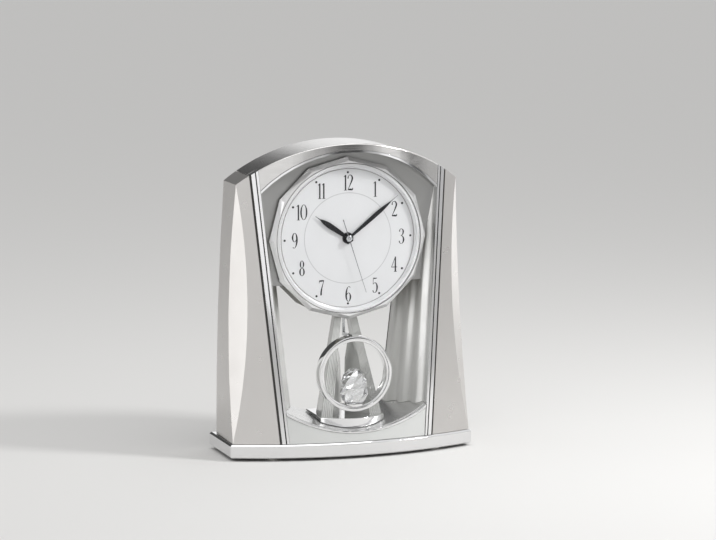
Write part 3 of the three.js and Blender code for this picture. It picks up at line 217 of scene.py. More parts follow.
def clear(name, ior, tint, through=1.0, mirror=0.0):
    """Clear glass that lets light through to what is behind it, with a share of a mirror's gloss."""
    material, nodes, links, shader = new_material(name)
    shader.inputs["Base Color"].default_value = (*tint, 1)
    shader.inputs["Transmission Weight"].default_value = through
    shader.inputs["IOR"].default_value = ior
    shader.inputs["Metallic"].default_value = mirror
    shader.inputs["Roughness"].default_value = 0.0
    path = nodes.new("ShaderNodeLightPath")
    open_way = nodes.new("ShaderNodeBsdfTransparent")
    mix = nodes.new("ShaderNodeMixShader")
    links.new(path.outputs["Is Shadow Ray"], mix.inputs["Fac"])
    links.new(shader.outputs["BSDF"], mix.inputs[1])
    links.new(open_way.outputs["BSDF"], mix.inputs[2])
    links.new(mix.outputs["Shader"], nodes["Material Output"].inputs["Surface"])
    return material


def wound(name, dark, light, turns):
    """Fine wire wound in close turns."""
    material, nodes, links, shader = new_material(name)
    place = nodes.new("ShaderNodeTexCoord")
    wave = nodes.new("ShaderNodeTexWave")
    wave.inputs["Scale"].default_value = turns
    links.new(place.outputs["Object"], wave.inputs["Vector"])
    links.new(tinted(nodes, links, wave.outputs["Fac"], dark, light), shader.inputs["Base Color"])
    shader.inputs["Metallic"].default_value = 0.8
    shader.inputs["Roughness"].default_value = 0.35
    bumped(nodes, links, shader, wave.outputs["Fac"], 0.5, 0.0001)
    return material


SATIN_SILVER = surface("satin_silver", (0.640, 0.622, 0.605), (0.665, 0.648, 0.632), (0.27, 0.31), 0.85, 24)
CHROME = surface("chrome_plate", (0.83, 0.83, 0.835), (0.86, 0.86, 0.865), (0.035, 0.06), 1.0, 40)
BRUSHED = surface("brushed_chrome", (0.70, 0.69, 0.68), (0.74, 0.73, 0.72), (0.15, 0.20), 1.0, 300,
                  stretch=(0.03, 1, 1))
BEZEL_SILVER = surface("bezel_silver", (0.84, 0.84, 0.845), (0.87, 0.87, 0.875), (0.10, 0.15), 0.55, 40)
WALL_CHROME = surface("wall_chrome", (0.76, 0.76, 0.745), (0.80, 0.80, 0.785), (0.40, 0.46), 0.8, 30)
TRAY_GLOSS = surface("tray_gloss", (0.67, 0.67, 0.665), (0.71, 0.71, 0.705), (0.22, 0.28), 0.9, 30)
LEG_METAL = surface("ribbed_silver", (0.58, 0.585, 0.57), (0.62, 0.625, 0.61), (0.20, 0.26), 0.55, 40)
DRUM_GREY = surface("drum_grey", (0.15, 0.145, 0.12), (0.18, 0.172, 0.145), (0.50, 0.58), 0.0, 40)
GREY_PANEL = surface("grey_panel", (0.40, 0.40, 0.395), (0.43, 0.43, 0.425), (0.30, 0.36), 0.7, 24)
PALE_GLOSS = surface("pale_gloss", (0.67, 0.68, 0.67), (0.70, 0.71, 0.70), (0.10, 0.15), 0.3, 30, coat=0.4)
LINE_GREY = surface("line_grey", (0.50, 0.50, 0.505), (0.53, 0.53, 0.535), (0.40, 0.50), 0.0, 60)
# Painted shade: dark grey put in the seam between the dial and its ring.
DIAL_SEAM_SHADE = surface("dial_seam_shade", (0.20, 0.19, 0.18), (0.24, 0.23, 0.22), (0.30, 0.40), 0.3, 120)
# Painted shade: near-black put on the groove floors of the trim strips and in the seam where the dial ring
# meets the bezel.
GROOVE_AND_SEAM_SHADE = surface("groove_and_seam_shade", (0.030, 0.029, 0.026), (0.045, 0.043, 0.040), (0.30, 0.40), 0.2, 200)
DARK_PLASTIC = surface("dark_plastic", (0.024, 0.024, 0.026), (0.036, 0.036, 0.038), (0.48, 0.62), 0.0, 90,
                       grain=(2600, 0.35, 0.00006))
DIAL_WHITE = surface("dial_white", (0.69, 0.69, 0.695), (0.71, 0.71, 0.715), (0.38, 0.50), 0.0, 25,
                     grain=(3800, 0.08, 0.00002))
PRINT_BLACK = surface("print_black", (0.010, 0.010, 0.012), (0.018, 0.018, 0.020), (0.40, 0.55), 0.0, 300)
HAND_BLACK = surface("hand_black", (0.008, 0.008, 0.010), (0.016, 0.016, 0.018), (0.26, 0.36), 0.2, 200,
                     grain=(5200, 0.10, 0.00001))
HAND_STEEL = surface("hand_steel", (0.20, 0.20, 0.205), (0.26, 0.26, 0.265), (0.25, 0.35), 0.8, 200)
STEEL = surface("steel", (0.52, 0.53, 0.54), (0.62, 0.63, 0.64), (0.18, 0.30), 1.0, 200,
                grain=(2400, 0.10, 0.00002))
BRASS = surface("brass", (0.56, 0.39, 0.13), (0.66, 0.47, 0.17), (0.22, 0.34), 1.0, 200,
                grain=(2400, 0.10, 0.00002))
CIRCUIT = surface("circuit_green", (0.020, 0.12, 0.05), (0.045, 0.20, 0.09), (0.30, 0.45), 0.0, 400)
CELL = surface("cell_jacket", (0.06, 0.06, 0.07), (0.10, 0.10, 0.11), (0.28, 0.38), 0.3, 120)
RUBBER = surface("foot_rubber", (0.36, 0.35, 0.33), (0.43, 0.42, 0.40), (0.60, 0.75), 0.0, 150,
                 grain=(2200, 0.30, 0.00005))
COPPER = wound("copper_wire", (0.36, 0.13, 0.045), (0.66, 0.28, 0.11), 900)
GLASS = clear("clear_glass", 1.06, (0.99, 0.995, 1.0))
CRYSTAL = clear("cut_crystal", 1.55, (0.98, 0.985, 0.99), through=0.95, mirror=0.60)


# Mesh tools

def finished(name, mesh, material, smooth_angle=38):
    mesh.materials.clear()
    mesh.materials.append(material)
    for face in mesh.polygons:
        face.use_smooth = True
    mesh.set_sharp_from_angle(angle=math.radians(smooth_angle))
    piece = bpy.data.objects.new(name, mesh)
    bpy.context.scene.collection.objects.link(piece)
    normals = piece.modifiers.new("even_normals", "WEIGHTED_NORMAL")
    normals.keep_sharp = True
    return piece


def mesh_of(name, verts, faces):
    mesh = bpy.data.meshes.new(name)
    mesh.from_pydata(verts, [], faces)
    mesh.validate()
    bm = bmesh.new()
    bm.from_mesh(mesh)
    bmesh.ops.remove_doubles(bm, verts=bm.verts, dist=1e-7)
    bmesh.ops.recalc_face_normals(bm, faces=bm.faces)
    bm.to_mesh(mesh)
    bm.free()
    return mesh


def settle(piece, body, slot, *nodes):
    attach(piece, body)
    if nodes:
        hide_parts(*nodes)
    return piece


def sharp_edge(edge):
    return len(edge.link_faces) == 2 and edge.calc_face_angle(0) > math.radians(EDGE_ANGLE)


def crest_edge(edge):
    """An edge between the arch's front and its upper side."""
    sides = sorted((face.normal for face in edge.link_faces), key=lambda normal: normal.y)
    return len(sides) == 2 and sides[0].y < -0.85 and abs(sides[1].y) < 0.4 and sides[1].z > 0.2


def ease(bm, edges, width, clamp=True):
    bmesh.ops.bevel(bm, geom=edges, offset=width * MM, offset_type="OFFSET", segments=2, profile=0.5,
                    affect="EDGES", clamp_overlap=clamp)


def eased_form(node, width, chosen=sharp_edge, clamp=True):
    """The node's own form with its sharp edges eased, as a moulded or plated edge is."""
    bm = bmesh.new()
    bm.from_mesh(frame["nodes"][node].data)
    bmesh.ops.remove_doubles(bm, verts=bm.verts, dist=1e-6)
    bmesh.ops.dissolve_limit(bm, angle_limit=math.radians(FLAT_ANGLE), verts=bm.verts, edges=bm.edges)
    ease(bm, [edge for edge in bm.edges if chosen(edge)], width, clamp)
    bmesh.ops.recalc_face_normals(bm, faces=bm.faces)
    return bm


def mesh_from(name, bm):
    mesh = bpy.data.meshes.new(name)
    bm.to_mesh(mesh)
    bm.free()
    return mesh


def eased(node, width, material, body, slot, chosen=sharp_edge, clamp=True):
    mesh = mesh_from(node + "_form", eased_form(node, width, chosen, clamp))
    return settle(finished(node + "_finish", mesh, material), body, slot, node)


def on_circle(radius, angle, depth, centre_z):
    """A point round an axis along Y, in metres."""
    return radius * math.sin(angle) * MM, depth * MM, (centre_z + radius * math.cos(angle)) * MM


def hoop_faces(segments, rows):
    """Faces of a closed hoop whose points run row by row through each segment."""
    faces = []
    for i in range(segments):
        here, there = i * rows, (i + 1) % segments * rows
        for j in range(rows):
            k = (j + 1) % rows
            faces.append((here + j, here + k, there + k, there + j))
    return faces


def turned(name, profile, centre_z, material, segments, smooth_angle=30):
    """A closed profile of (radius, depth) points turned about an axis along Y."""
    verts = []
    for i in range(segments):
        angle = 2 * math.pi * i / segments
        for radius, depth in profile:
            verts.append(on_circle(radius, angle, depth, centre_z))
    faces = hoop_faces(segments, len(profile))
    return finished(name, mesh_of(name, verts, faces), material, smooth_angle)


# Case

def case_finish():
    """Pieces that keep their form with eased edges: node, width of the edge, finish and slot."""
    fine = (
        ("base_plinth", 0.35, CHROME, "chrome_plate"),
        ("right_pillar", 0.30, SATIN_SILVER, "satin_silver"),
        ("left_pillar", 0.30, SATIN_SILVER, "satin_silver"),
        ("arch_trim", 0.15, CHROME, "chrome_plate"),
        ("front_apron", 0.20, PALE_GLOSS, "pale_gloss"),
        ("tray_trim", 0.25, CHROME, "chrome_plate"),
        ("floor_tray", 0.15, TRAY_GLOSS, "satin_chrome"),
        ("upper_panel", 0.12, GREY_PANEL, "grey_panel"),
        ("dial_housing", 0.15, DRUM_GREY, "satin_chrome"),
        ("pendulum_stage", 0.90, CHROME, "chrome_plate"),
        ("right_support_leg", 0.06, LEG_METAL, "satin_chrome"),
        ("left_support_leg", 0.06, LEG_METAL, "satin_chrome"),
        ("back_cover", 0.20, DARK_PLASTIC, "dark_plastic"),
    )
    for node, width, material, slot in fine:
        eased(node, width, material, CASE, slot)
    eased("arch_top", 0.8, BRUSHED, CASE, "satin_chrome", crest_edge, False)
    eased("battery_door", 0.20, DARK_PLASTIC, "battery_lid", "dark_plastic")
    eased("setting_knob", 0.20, DARK_PLASTIC, "setting_train", "dark_plastic")
    eased("hour_hand", 0.10, HAND_BLACK, "hour_train", "hand_black")
    eased("minute_hand", 0.10, HAND_BLACK, "minute_train", "hand_black")
    eased("second_hand", 0.05, HAND_STEEL, "second_train", "steel")
    eased("pendulum_rod", 0.15, STEEL, "pendulum", "steel")


def strip_finish():
    """Bright bands, with painted shade on the floors of the rebate beside the pillar and of the groove near
    the window.
    """
    for side in ("right", "left"):
        node = side + "_trim_strip"
        for name, dark in (("bands", False), ("lines", True)):
            bm = eased_form(node, STRIP_EASE)
            lines = set()
            for face in bm.faces:
                middle = face.calc_center_median() / MM
                across = abs(middle.x) - STRIP_FOOT - STRIP_SLOPE * (middle.z - BASE_TOP)
                sunk = -STRIP_REBATE < across or STRIP_GROOVE[0] < across < STRIP_GROOVE[1]
                # Forward-facing faces down in the rebate and the groove get painted shade.
                if sunk and face.normal.y < -0.5:
                    lines.add(face)
            gone = [face for face in bm.faces if (face in lines) != dark]
            bmesh.ops.delete(bm, geom=gone, context="FACES")
            mesh = mesh_from(side + "_strip_" + name, bm)
            finish, slot = (GROOVE_AND_SEAM_SHADE, "dark_plastic") if dark else (CHROME, "chrome_plate")
            settle(finished(side + "_strip_" + name, mesh, finish), CASE, slot, node)


# Window

def solid_half(z):
    return SOLID_FOOT + SOLID_SLOPE * (z - TRAY_LOW)


def drawn_half(z):
    return DRAWN_FOOT + DRAWN_SLOPE * (z - TRAY_LOW)


def wall_point(z, share):
    """A point on the right fluted wall, from its front edge (0) to its back edge (1)."""
    front_x = STRIP_FOOT + STRIP_SLOPE * (z - BASE_TOP) - STRIP_WIDTH
    sag = BOW_RADIUS - math.sqrt(BOW_RADIUS ** 2 - front_x ** 2)
    front = Vector((front_x, CASE_FRONT + sag + CASE_LEAN * (z - BASE_TOP) + WALL_FRONT_GAP))
    run = Vector((drawn_half(z), WALL_BACK)) - front
    inward = Vector((-run.y, run.x)).normalized()
    ridge = 0.5 - 0.5 * math.cos(2 * math.pi * FLUTES * share)
    return front + run * share + inward * FLUTE_DEPTH * ridge


def tray_height(x, y):
    return TRAY_LOW + TRAY_RADIUS - math.sqrt(TRAY_RADIUS ** 2 - x ** 2) + TRAY_CLIMB * (y - CASE_FRONT)


def wall_ends(share):
    """The wall stands on the tray; behind the panel's front it ends at the panel's foot."""
    low = TRAY_LOW
    for _ in range(8):
        low = tray_height(*wall_point(low, share)) + SEAM
    start, high = PANEL_FOOT - SEAM, WALL_LIMIT
    if wall_point(start, share).y > PANEL_FRONT - SEAM:
        return low, start
    for _ in range(24):
        middle = (start + high) / 2
        if wall_point(middle, share).y > PANEL_FRONT - SEAM:
            high = middle
        else:
            start = middle
    return low, start


def wall_finish():
    """Both fluted walls, the left one mirrored."""
    columns, rows = 72, 8
    for side, way in (("right", 1), ("left", -1)):
        verts = []
        for i in range(columns + 1):
            low, high = wall_ends(i / columns)
            for j in range(rows + 1):
                z = low + (high - low) * j / rows
                x, y = wall_point(z, i / columns)
                verts.append((way * x * MM, y * MM, z * MM))
                verts.append((way * (x + WALL_THICK) * MM, y * MM, z * MM))
        faces = []
        step = 2 * (rows + 1)
        for i in range(columns):
            for j in range(rows):
                a = step * i + 2 * j
                faces.append((a, a + 2, a + step + 2, a + step))
                faces.append((a + 1, a + step + 1, a + step + 3, a + 3))
            for a in (step * i, step * i + 2 * rows):
                faces.append((a, a + 1, a + step + 1, a + step))
        for j in range(rows):
            for a in (2 * j, step * columns + 2 * j):
                faces.append((a, a + 1, a + 3, a + 2))
        name = side + "_inner_wall"
        mesh = mesh_of(name + "_form", verts, faces)
        settle(finished(name + "_finish", mesh, WALL_CHROME), CASE, "chrome_plate", name)


def back_finish():
    """The plates behind the walls, drawn in with them and let down to the plinth beside the pillars."""
    for node in ("right_pillar_back", "left_pillar_back"):
        bm = eased_form(node, PLATE_EASE)
        side = 1 if node.startswith("right") else -1
        for step in (PLATE_STEP, PLATE_STEP + PLATE_STEP_RUN):
            whole = bm.verts[:] + bm.edges[:] + bm.faces[:]
            bmesh.ops.bisect_plane(bm, geom=whole, plane_co=(side * step * MM, 0, 0), plane_no=(1, 0, 0))
        for vert in bm.verts:
            x, z = vert.co.x / MM, vert.co.z / MM
            if z < PLATE_FOOT + PLATE_FOOT_ZONE and abs(x) < PLATE_STEP + PLATE_STEP_RUN / 2:
                vert.co.z -= (PLATE_FOOT - BASE_TOP - SEAM) * MM
            if z < PANEL_FOOT and abs(abs(x) - solid_half(z)) < PLATE_EDGE_ZONE:
                vert.co.x += math.copysign(MM, x) * (drawn_half(z) - solid_half(z))
        mesh = mesh_from(node + "_form", bm)
        settle(finished(node + "_finish", mesh, DARK_PLASTIC), CASE, "dark_plastic", node)
    bm = eased_form("rear_apron", PLATE_EASE)
    for vert in bm.verts:
        x, z = abs(vert.co.x) / MM, vert.co.z / MM
        reach = drawn_half(z) - SEAM
        if x > reach:
            if z > BASE_TOP + APRON_FOOT_ZONE:
                drop = math.sqrt(TRAY_UNDER ** 2 - reach ** 2) - math.sqrt(TRAY_UNDER ** 2 - x ** 2)
                vert.co.z -= drop * MM
            vert.co.x = math.copysign(reach * MM, vert.co.x)
    bmesh.ops.remove_doubles(bm, verts=bm.verts, dist=1e-5)
    bmesh.ops.dissolve_degenerate(bm, edges=bm.edges, dist=1e-6)
    mesh = mesh_from("rear_apron_form", bm)
    settle(finished("rear_apron_finish", mesh, DARK_PLASTIC), CASE, "dark_plastic", "rear_apron")


# Dial group

def bezel_finish():
    """Twelve flat facets outside, round inside."""
    steps = 16
    corner = math.cos(math.pi / BEZEL_SIDES)
    rows = (
        (BEZEL_RADIUS, BEZEL_BACK, True),
        (BEZEL_RADIUS, BEZEL_RIM, True),
        (BEZEL_BORE / corner, BEZEL_FRONT, True),
        (BEZEL_BORE - BEZEL_PLAY, BEZEL_FRONT, False),
        (BEZEL_BORE - BEZEL_PLAY, BEZEL_BACK, False),
    )
    count = BEZEL_SIDES * steps
    verts = []
    for i in range(count):
        angle = 2 * math.pi * i / count
        inside = (angle % (2 * math.pi / BEZEL_SIDES)) - math.pi / BEZEL_SIDES
        for radius, depth, flat in rows:
            reach = radius * corner / math.cos(inside) if flat else radius
            verts.append(on_circle(reach, angle, depth, DIAL_CENTRE))
    mesh = mesh_of("bezel_form", verts, hoop_faces(count, len(rows)))
    bm = bmesh.new()
    bm.from_mesh(mesh)
    least = math.radians(BEZEL_EDGE_ANGLE)
    ease(bm, [edge for edge in bm.edges if edge.calc_face_angle(0) > least], BEZEL_EASE)
    bm.to_mesh(mesh)
    bm.free()
    settle(finished("bezel_finish", mesh, BEZEL_SILVER, 14), CASE, "chrome_plate", "bezel")


def dome(offset, steps):
    """Points of the domed glass from its middle to its rim."""
    radius = (GLASS_RADIUS ** 2 + GLASS_DOME ** 2) / (2 * GLASS_DOME)
    points = []
    for i in range(steps + 1):
        r = GLASS_RADIUS * i / steps
        points.append((r, GLASS_SEAT - offset - GLASS_DOME + radius - math.sqrt(radius ** 2 - r ** 2)))
    return points


def dial_line(name, inner, outer, front, finish, slot):
    line = turned(name, [
        (inner, front + LINE_THICK),
        (inner, front),
        (outer, front),
        (outer, front + LINE_THICK),
    ], DIAL_CENTRE, finish, 160)
    settle(line, CASE, slot)


def dial_finish():
    plate = turned("dial_finish", [
        (DIAL_HOLE, DIAL_FRONT),
        (DIAL_RADIUS, DIAL_FRONT),
        (DIAL_RADIUS, DIAL_BACK),
        (DIAL_HOLE, DIAL_BACK),
    ], DIAL_CENTRE, DIAL_WHITE, 200)
    settle(plate, CASE, "dial_white", "dial")
    ring = turned("dial_ring_finish", [
        (DIAL_OPENING, DIAL_FRONT),
        (RING_OUTER, DIAL_FRONT),
        (RING_OUTER, RING_FRONT),
        (DIAL_RADIUS + RING_EDGE, RING_FRONT),
        (DIAL_OPENING, DIAL_FRONT - RING_EDGE),
    ], DIAL_CENTRE, BEZEL_SILVER, 200)
    settle(ring, CASE, "chrome_plate", "dial_ring")
    dial_line("dial_inner_line", DIAL_LINE - INNER_LINE / 2, DIAL_LINE + INNER_LINE / 2,
              DIAL_FRONT - INNER_LINE_PROUD, LINE_GREY, "dial_white")
    # Painted shade in the seams: a dark line at the dial's edge against the ring, and one where the ring
    # meets the bezel.
    dial_line("dial_edge_painted_shade", DIAL_OPENING - EDGE_SHADE_START, DIAL_OPENING - EDGE_SHADE_END,
              DIAL_FRONT - EDGE_SHADE_PROUD, DIAL_SEAM_SHADE, "dark_plastic")
    dial_line("bezel_seam_painted_shade", RING_OUTER - BEZEL_SHADE_WIDTH, RING_OUTER,
              RING_FRONT - BEZEL_SHADE_PROUD, GROOVE_AND_SEAM_SHADE, "dark_plastic")
    glass = turned("dial_glass_finish", dome(GLASS_THICK, 16) + dome(0, 16)[::-1], DIAL_CENTRE, GLASS, 128)
    settle(glass, CASE, "clear_glass", "dial_glass")
    cap = turned("hand_cap_finish", [
        (0, CAP_BACK),
        (CAP_RADIUS, CAP_BACK),
        (CAP_RADIUS, CAP_BACK - CAP_SHOULDER),
        (CAP_RADIUS * 0.92, CAP_BACK - CAP_SLOPE),
        (CAP_RADIUS * 0.7, CAP_BACK - CAP_RISE),
        (0, CAP_BACK - CAP_RISE),
    ], DIAL_CENTRE, STEEL, 48)
    settle(cap, "second_train", "steel", "hand_cap")


# Numerals, drawn as pen strokes of (x, y, width) on a unit height

def oval(rx, ry, wx, wy, y=0.0):
    """A closed stroke, heavy at its sides and fine at its top and foot."""
    points = []
    steps = 24
    for i in range(steps):
        angle = 2 * math.pi * i / steps
        share = math.cos(angle) ** 2
        width = wx * share + wy * (1 - share)
        points.append(((rx - wx / 2) * math.cos(angle), y + (ry - wy / 2) * math.sin(angle), width))
    return points + [points[0]]


STROKES = {
    "0": [oval(0.225, 0.5, 0.075, 0.022)],
    "1": [
        [(0.02, -0.49, 0.07), (0.02, 0.49, 0.07)],
        [(-0.09, -0.49, 0.022), (0.13, -0.49, 0.022)],
        [(-0.10, 0.37, 0.018), (-0.04, 0.42, 0.035), (0.02, 0.485, 0.04)],
    ],
    "2": [
        [(-0.15, 0.26, 0.06), (-0.145, 0.37, 0.04), (-0.06, 0.48, 0.022), (0.06, 0.46, 0.05),
         (0.135, 0.31, 0.078), (0.105, 0.13, 0.072), (0.0, -0.12, 0.05), (-0.10, -0.33, 0.03),
         (-0.165, -0.455, 0.022)],
        [(-0.165, -0.455, 0.05), (0.0, -0.45, 0.085), (0.13, -0.455, 0.07), (0.175, -0.34, 0.02)],
    ],
    "3": [
        [(-0.13, 0.30, 0.055), (-0.10, 0.43, 0.035), (0.0, 0.485, 0.022), (0.10, 0.41, 0.055),
         (0.125, 0.27, 0.072), (0.075, 0.11, 0.045), (-0.04, 0.04, 0.02)],
        [(-0.04, 0.04, 0.02), (0.085, -0.02, 0.045), (0.15, -0.2, 0.078), (0.11, -0.4, 0.055),
         (0.0, -0.487, 0.022), (-0.10, -0.44, 0.035), (-0.15, -0.30, 0.058)],
    ],
    "4": [
        [(0.075, -0.49, 0.075), (0.075, 0.49, 0.06)],
        [(0.075, 0.485, 0.03), (-0.19, -0.19, 0.024)],
        [(-0.195, -0.19, 0.034), (0.19, -0.19, 0.034)],
        [(-0.03, -0.49, 0.022), (0.18, -0.49, 0.022)],
    ],
    "5": [
        [(-0.11, 0.465, 0.06), (0.02, 0.45, 0.055), (0.14, 0.47, 0.03)],
        [(-0.11, 0.47, 0.024), (-0.125, 0.07, 0.022)],
        [(-0.125, 0.07, 0.022), (-0.02, 0.16, 0.024), (0.09, 0.11, 0.052), (0.15, -0.10, 0.08),
         (0.11, -0.36, 0.06), (0.0, -0.487, 0.022), (-0.095, -0.45, 0.035), (-0.14, -0.33, 0.058)],
    ],
    "6": [
        [(0.12, 0.42, 0.045), (0.03, 0.485, 0.022), (-0.08, 0.36, 0.05), (-0.145, 0.08, 0.078),
         (-0.145, -0.22, 0.076), (-0.08, -0.43, 0.04), (0.0, -0.487, 0.022), (0.085, -0.42, 0.05),
         (0.142, -0.2, 0.078), (0.10, 0.0, 0.05), (0.015, 0.075, 0.022), (-0.07, 0.02, 0.03),
         (-0.13, -0.10, 0.04)],
    ],
    "7": [
        [(-0.155, 0.44, 0.075), (0.0, 0.45, 0.075), (0.155, 0.455, 0.06)],
        [(-0.165, 0.30, 0.018), (-0.155, 0.45, 0.03)],
        [(0.155, 0.46, 0.022), (0.055, 0.15, 0.042), (-0.025, -0.2, 0.07), (-0.045, -0.49, 0.078)],
    ],
    "8": [
        oval(0.14, 0.245, 0.066, 0.022, 0.255),
        oval(0.175, 0.265, 0.078, 0.022, -0.235),
    ],
}
STROKES["9"] = [[(-x, -y, w) for x, y, w in stroke] for stroke in STROKES["6"]]
ADVANCE = {"0": 0.50, "1": 0.27, "2": 0.42}


def between_stations(a, b, c, d, t):
    """A smooth value between b and c, with a before them and d after."""
    square = (2 * a - 5 * b + 4 * c - d) * t ** 2
    cube = (3 * b - a - 3 * c + d) * t ** 3
    return 0.5 * (2 * b + (c - a) * t + square + cube)


def smooth_run(points, per_span=8):
    """A smooth run of points through the pen's stations."""
    if len(points) < 3:
        return points
    out = []
    for i in range(len(points) - 1):
        near = [points[max(0, min(len(points) - 1, i + k))] for k in (-1, 0, 1, 2)]
        for step in range(per_span):
            out.append(tuple(between_stations(*values, step / per_span) for values in zip(*near)))
    out.append(points[-1])
    return out


def stroke_solid(verts, faces, stroke, place):
    """One pen stroke as a thin closed solid on the dial."""
    closed = stroke[0] == stroke[-1] and len(stroke) > 3
    points = stroke[:-1] if closed else smooth_run(stroke)
    count = len(points)
    base = len(verts)
    for i, (x, y, width) in enumerate(points):
        before = points[(i - 1) % count] if closed or i > 0 else points[i]
        after = points[(i + 1) % count] if closed or i < count - 1 else points[i]
        along = Vector((after[0] - before[0], after[1] - before[1])).normalized()
        across = Vector((-along.y, along.x)) * width * PEN_WEIGHT / 2
        for side in (1, -1):
            for depth in (0, PRINT_THICK):
                verts.append(place(x + side * across.x, y + side * across.y, depth))
    spans = count if closed else count - 1
    for i in range(spans):
        a, b = base + 4 * i, base + 4 * ((i + 1) % count)
        faces.append((a, a + 2, b + 2, b))
        faces.append((a + 1, b + 1, b + 3, a + 3))
        faces.append((a, b, b + 1, a + 1))
        faces.append((a + 2, a + 3, b + 3, b + 2))
    if not closed:
        last = base + 4 * (count - 1)
        faces.append((base, base + 1, base + 3, base + 2))
        faces.append((last, last + 2, last + 3, last + 1))


def print_depth(depth):
    return (DIAL_FRONT - depth + PRINT_SINK) * MM


def numerals():
    verts, faces = [], []
    for hour in range(1, 13):
        angle = 2 * math.pi * hour / 12
        middle = (NUMERAL_RADIUS * math.sin(angle), NUMERAL_RADIUS * math.cos(angle))
        digits = str(hour)
        pen = -sum(ADVANCE.get(digit, DIGIT_ROOM) for digit in digits) / 2
        for digit in digits:
            room = ADVANCE.get(digit, DIGIT_ROOM)
            shift = pen + room / 2 if len(digits) > 1 else 0.0
            pen += room

            def place(x, y, depth, shift=shift):
                return ((PRINT_SHIFT[0] + middle[0] + (x + shift) * NUMERAL_HEIGHT) * MM, print_depth(depth),
                        (DIAL_CENTRE + PRINT_SHIFT[1] + middle[1] + y * NUMERAL_HEIGHT) * MM)

            for stroke in STROKES[digit]:
                stroke_solid(verts, faces, stroke, place)
    return mesh_of("dial_numerals", verts, faces)


def dots():
    verts, faces = [], []
    sides = 20
    for hour in range(12):
        angle = 2 * math.pi * hour / 12
        x, z = DOT_RADIUS * math.sin(angle), DOT_RADIUS * math.cos(angle)
        base = len(verts)
        for i in range(sides):
            turn = 2 * math.pi * i / sides
            for depth in (0, PRINT_THICK):
                verts.append(((x + DOT_SIZE * math.sin(turn)) * MM, print_depth(depth),
                              (DIAL_CENTRE + z + DOT_SIZE * math.cos(turn)) * MM))
        faces.append(tuple(base + 2 * i for i in range(sides)))
        faces.append(tuple(base + 2 * i + 1 for i in reversed(range(sides))))
        for i in range(sides):
            a, b = base + 2 * i, base + 2 * ((i + 1) % sides)
            faces.append((a, b, b + 1, a + 1))
    return mesh_of("dial_dots", verts, faces)


def dial_print():
    for name, mesh in (("dial_numerals", numerals()), ("dial_dots", dots())):
        settle(finished(name, mesh, PRINT_BLACK), CASE, "hand_black")


# Pendulum group

def pendulum_finish():
    """A ring with two steps in front and eased rims."""
    step = PENDULUM_STEP
    middle = (PENDULUM_RADIUS + PENDULUM_BORE) / 2
    ring = turned("pendulum_ring_finish", [
        (PENDULUM_BORE, PENDULUM_FRONT + 2 * step),
        (PENDULUM_BORE + 0.3 * step, PENDULUM_FRONT + 1.3 * step),
        (PENDULUM_BORE + step, PENDULUM_FRONT + step),
        (middle - step / 2, PENDULUM_FRONT + step),
        (middle - 0.1 * step, PENDULUM_FRONT + PENDULUM_RIDGE),
        (middle + PENDULUM_RIDGE, PENDULUM_FRONT),
        (PENDULUM_RADIUS - step, PENDULUM_FRONT),
        (PENDULUM_RADIUS - 0.3 * step, PENDULUM_FRONT + 0.3 * step),
        (PENDULUM_RADIUS, PENDULUM_FRONT + step),
        (PENDULUM_RADIUS, PENDULUM_BACK - step / 2),
        (PENDULUM_RADIUS - step / 2, PENDULUM_BACK),
        (PENDULUM_BORE, PENDULUM_BACK),
    ], PENDULUM_CENTRE, CHROME, 180, 24)
    settle(ring, "pendulum", "chrome_plate", "pendulum_ring")


# Pieces kept in their plain form

def carried_over():
    plain = {
        "base_plate": DARK_PLASTIC,
        "crystal": CRYSTAL,
        "crystal_cup": CHROME,
        "movement_front": DARK_PLASTIC,
        "movement_back": DARK_PLASTIC,
        "pendulum_bracket": DARK_PLASTIC,
        "fixing_nut": DARK_PLASTIC,
        "hour_wheel": BRASS,
        "minute_wheel": BRASS,
        "centre_wheel": BRASS,
        "third_wheel": BRASS,
        "second_wheel": STEEL,
        "motor_stator": STEEL,
        "battery_plate": STEEL,
        "battery_spring": STEEL,
        "pivot_pin": STEEL,
        "pendulum_magnet": STEEL,
        "motor_coil": COPPER,
        "pendulum_coil": COPPER,
        "circuit_board": CIRCUIT,
        "battery": CELL,
        "left_front_foot": RUBBER,
        "right_front_foot": RUBBER,
        "left_rear_foot": RUBBER,
        "right_rear_foot": RUBBER,
    }
    for node, material in plain.items():
        shown = frame["nodes"][node]
        for place in shown.material_slots:
            place.material = material


# Floor, light and camera

def ramped(nodes, links, source, low, high, start, end):
    """A smooth passage from one value to another."""
    span = nodes.new("ShaderNodeMapRange")
    span.interpolation_type = "SMOOTHSTEP"
    span.inputs["From Min"].default_value = low
    span.inputs["From Max"].default_value = high
    span.inputs["To Min"].default_value = start
    span.inputs["To Max"].default_value = end
    links.new(source, span.inputs["Value"])
    return span.outputs["Result"]


def worked(nodes, links, operation, first, second):
    step = nodes.new("ShaderNodeMath")
    step.operation = operation
    for socket, value in zip(step.inputs, (first, second)):
        if isinstance(value, float):
            socket.default_value = value
        else:
            links.new(value, socket)
    return step.outputs["Value"]


def blended(nodes, links, share, first, second):
    """first where share is 0, second where it is 1."""
    gap = worked(nodes, links, "SUBTRACT", second, first)
    return worked(nodes, links, "ADD", first, worked(nodes, links, "MULTIPLY", gap, share))


def floor():
    size = 14.0
    mesh = bpy.data.meshes.new("floor")
    corners = [(-size, -size, 0), (size, -size, 0), (size, size, 0), (-size, size, 0)]
    mesh.from_pydata(corners, [], [(0, 1, 2, 3)])
    plane = bpy.data.objects.new("floor", mesh)
    bpy.context.scene.collection.objects.link(plane)
    material, _, _, shader = new_material("floor_pale")
    shader.inputs["Base Color"].default_value = (0.70, 0.695, 0.685, 1)
    shader.inputs["Roughness"].default_value = 0.9
    shader.inputs["Specular IOR Level"].default_value = 0.0
    mesh.materials.append(material)


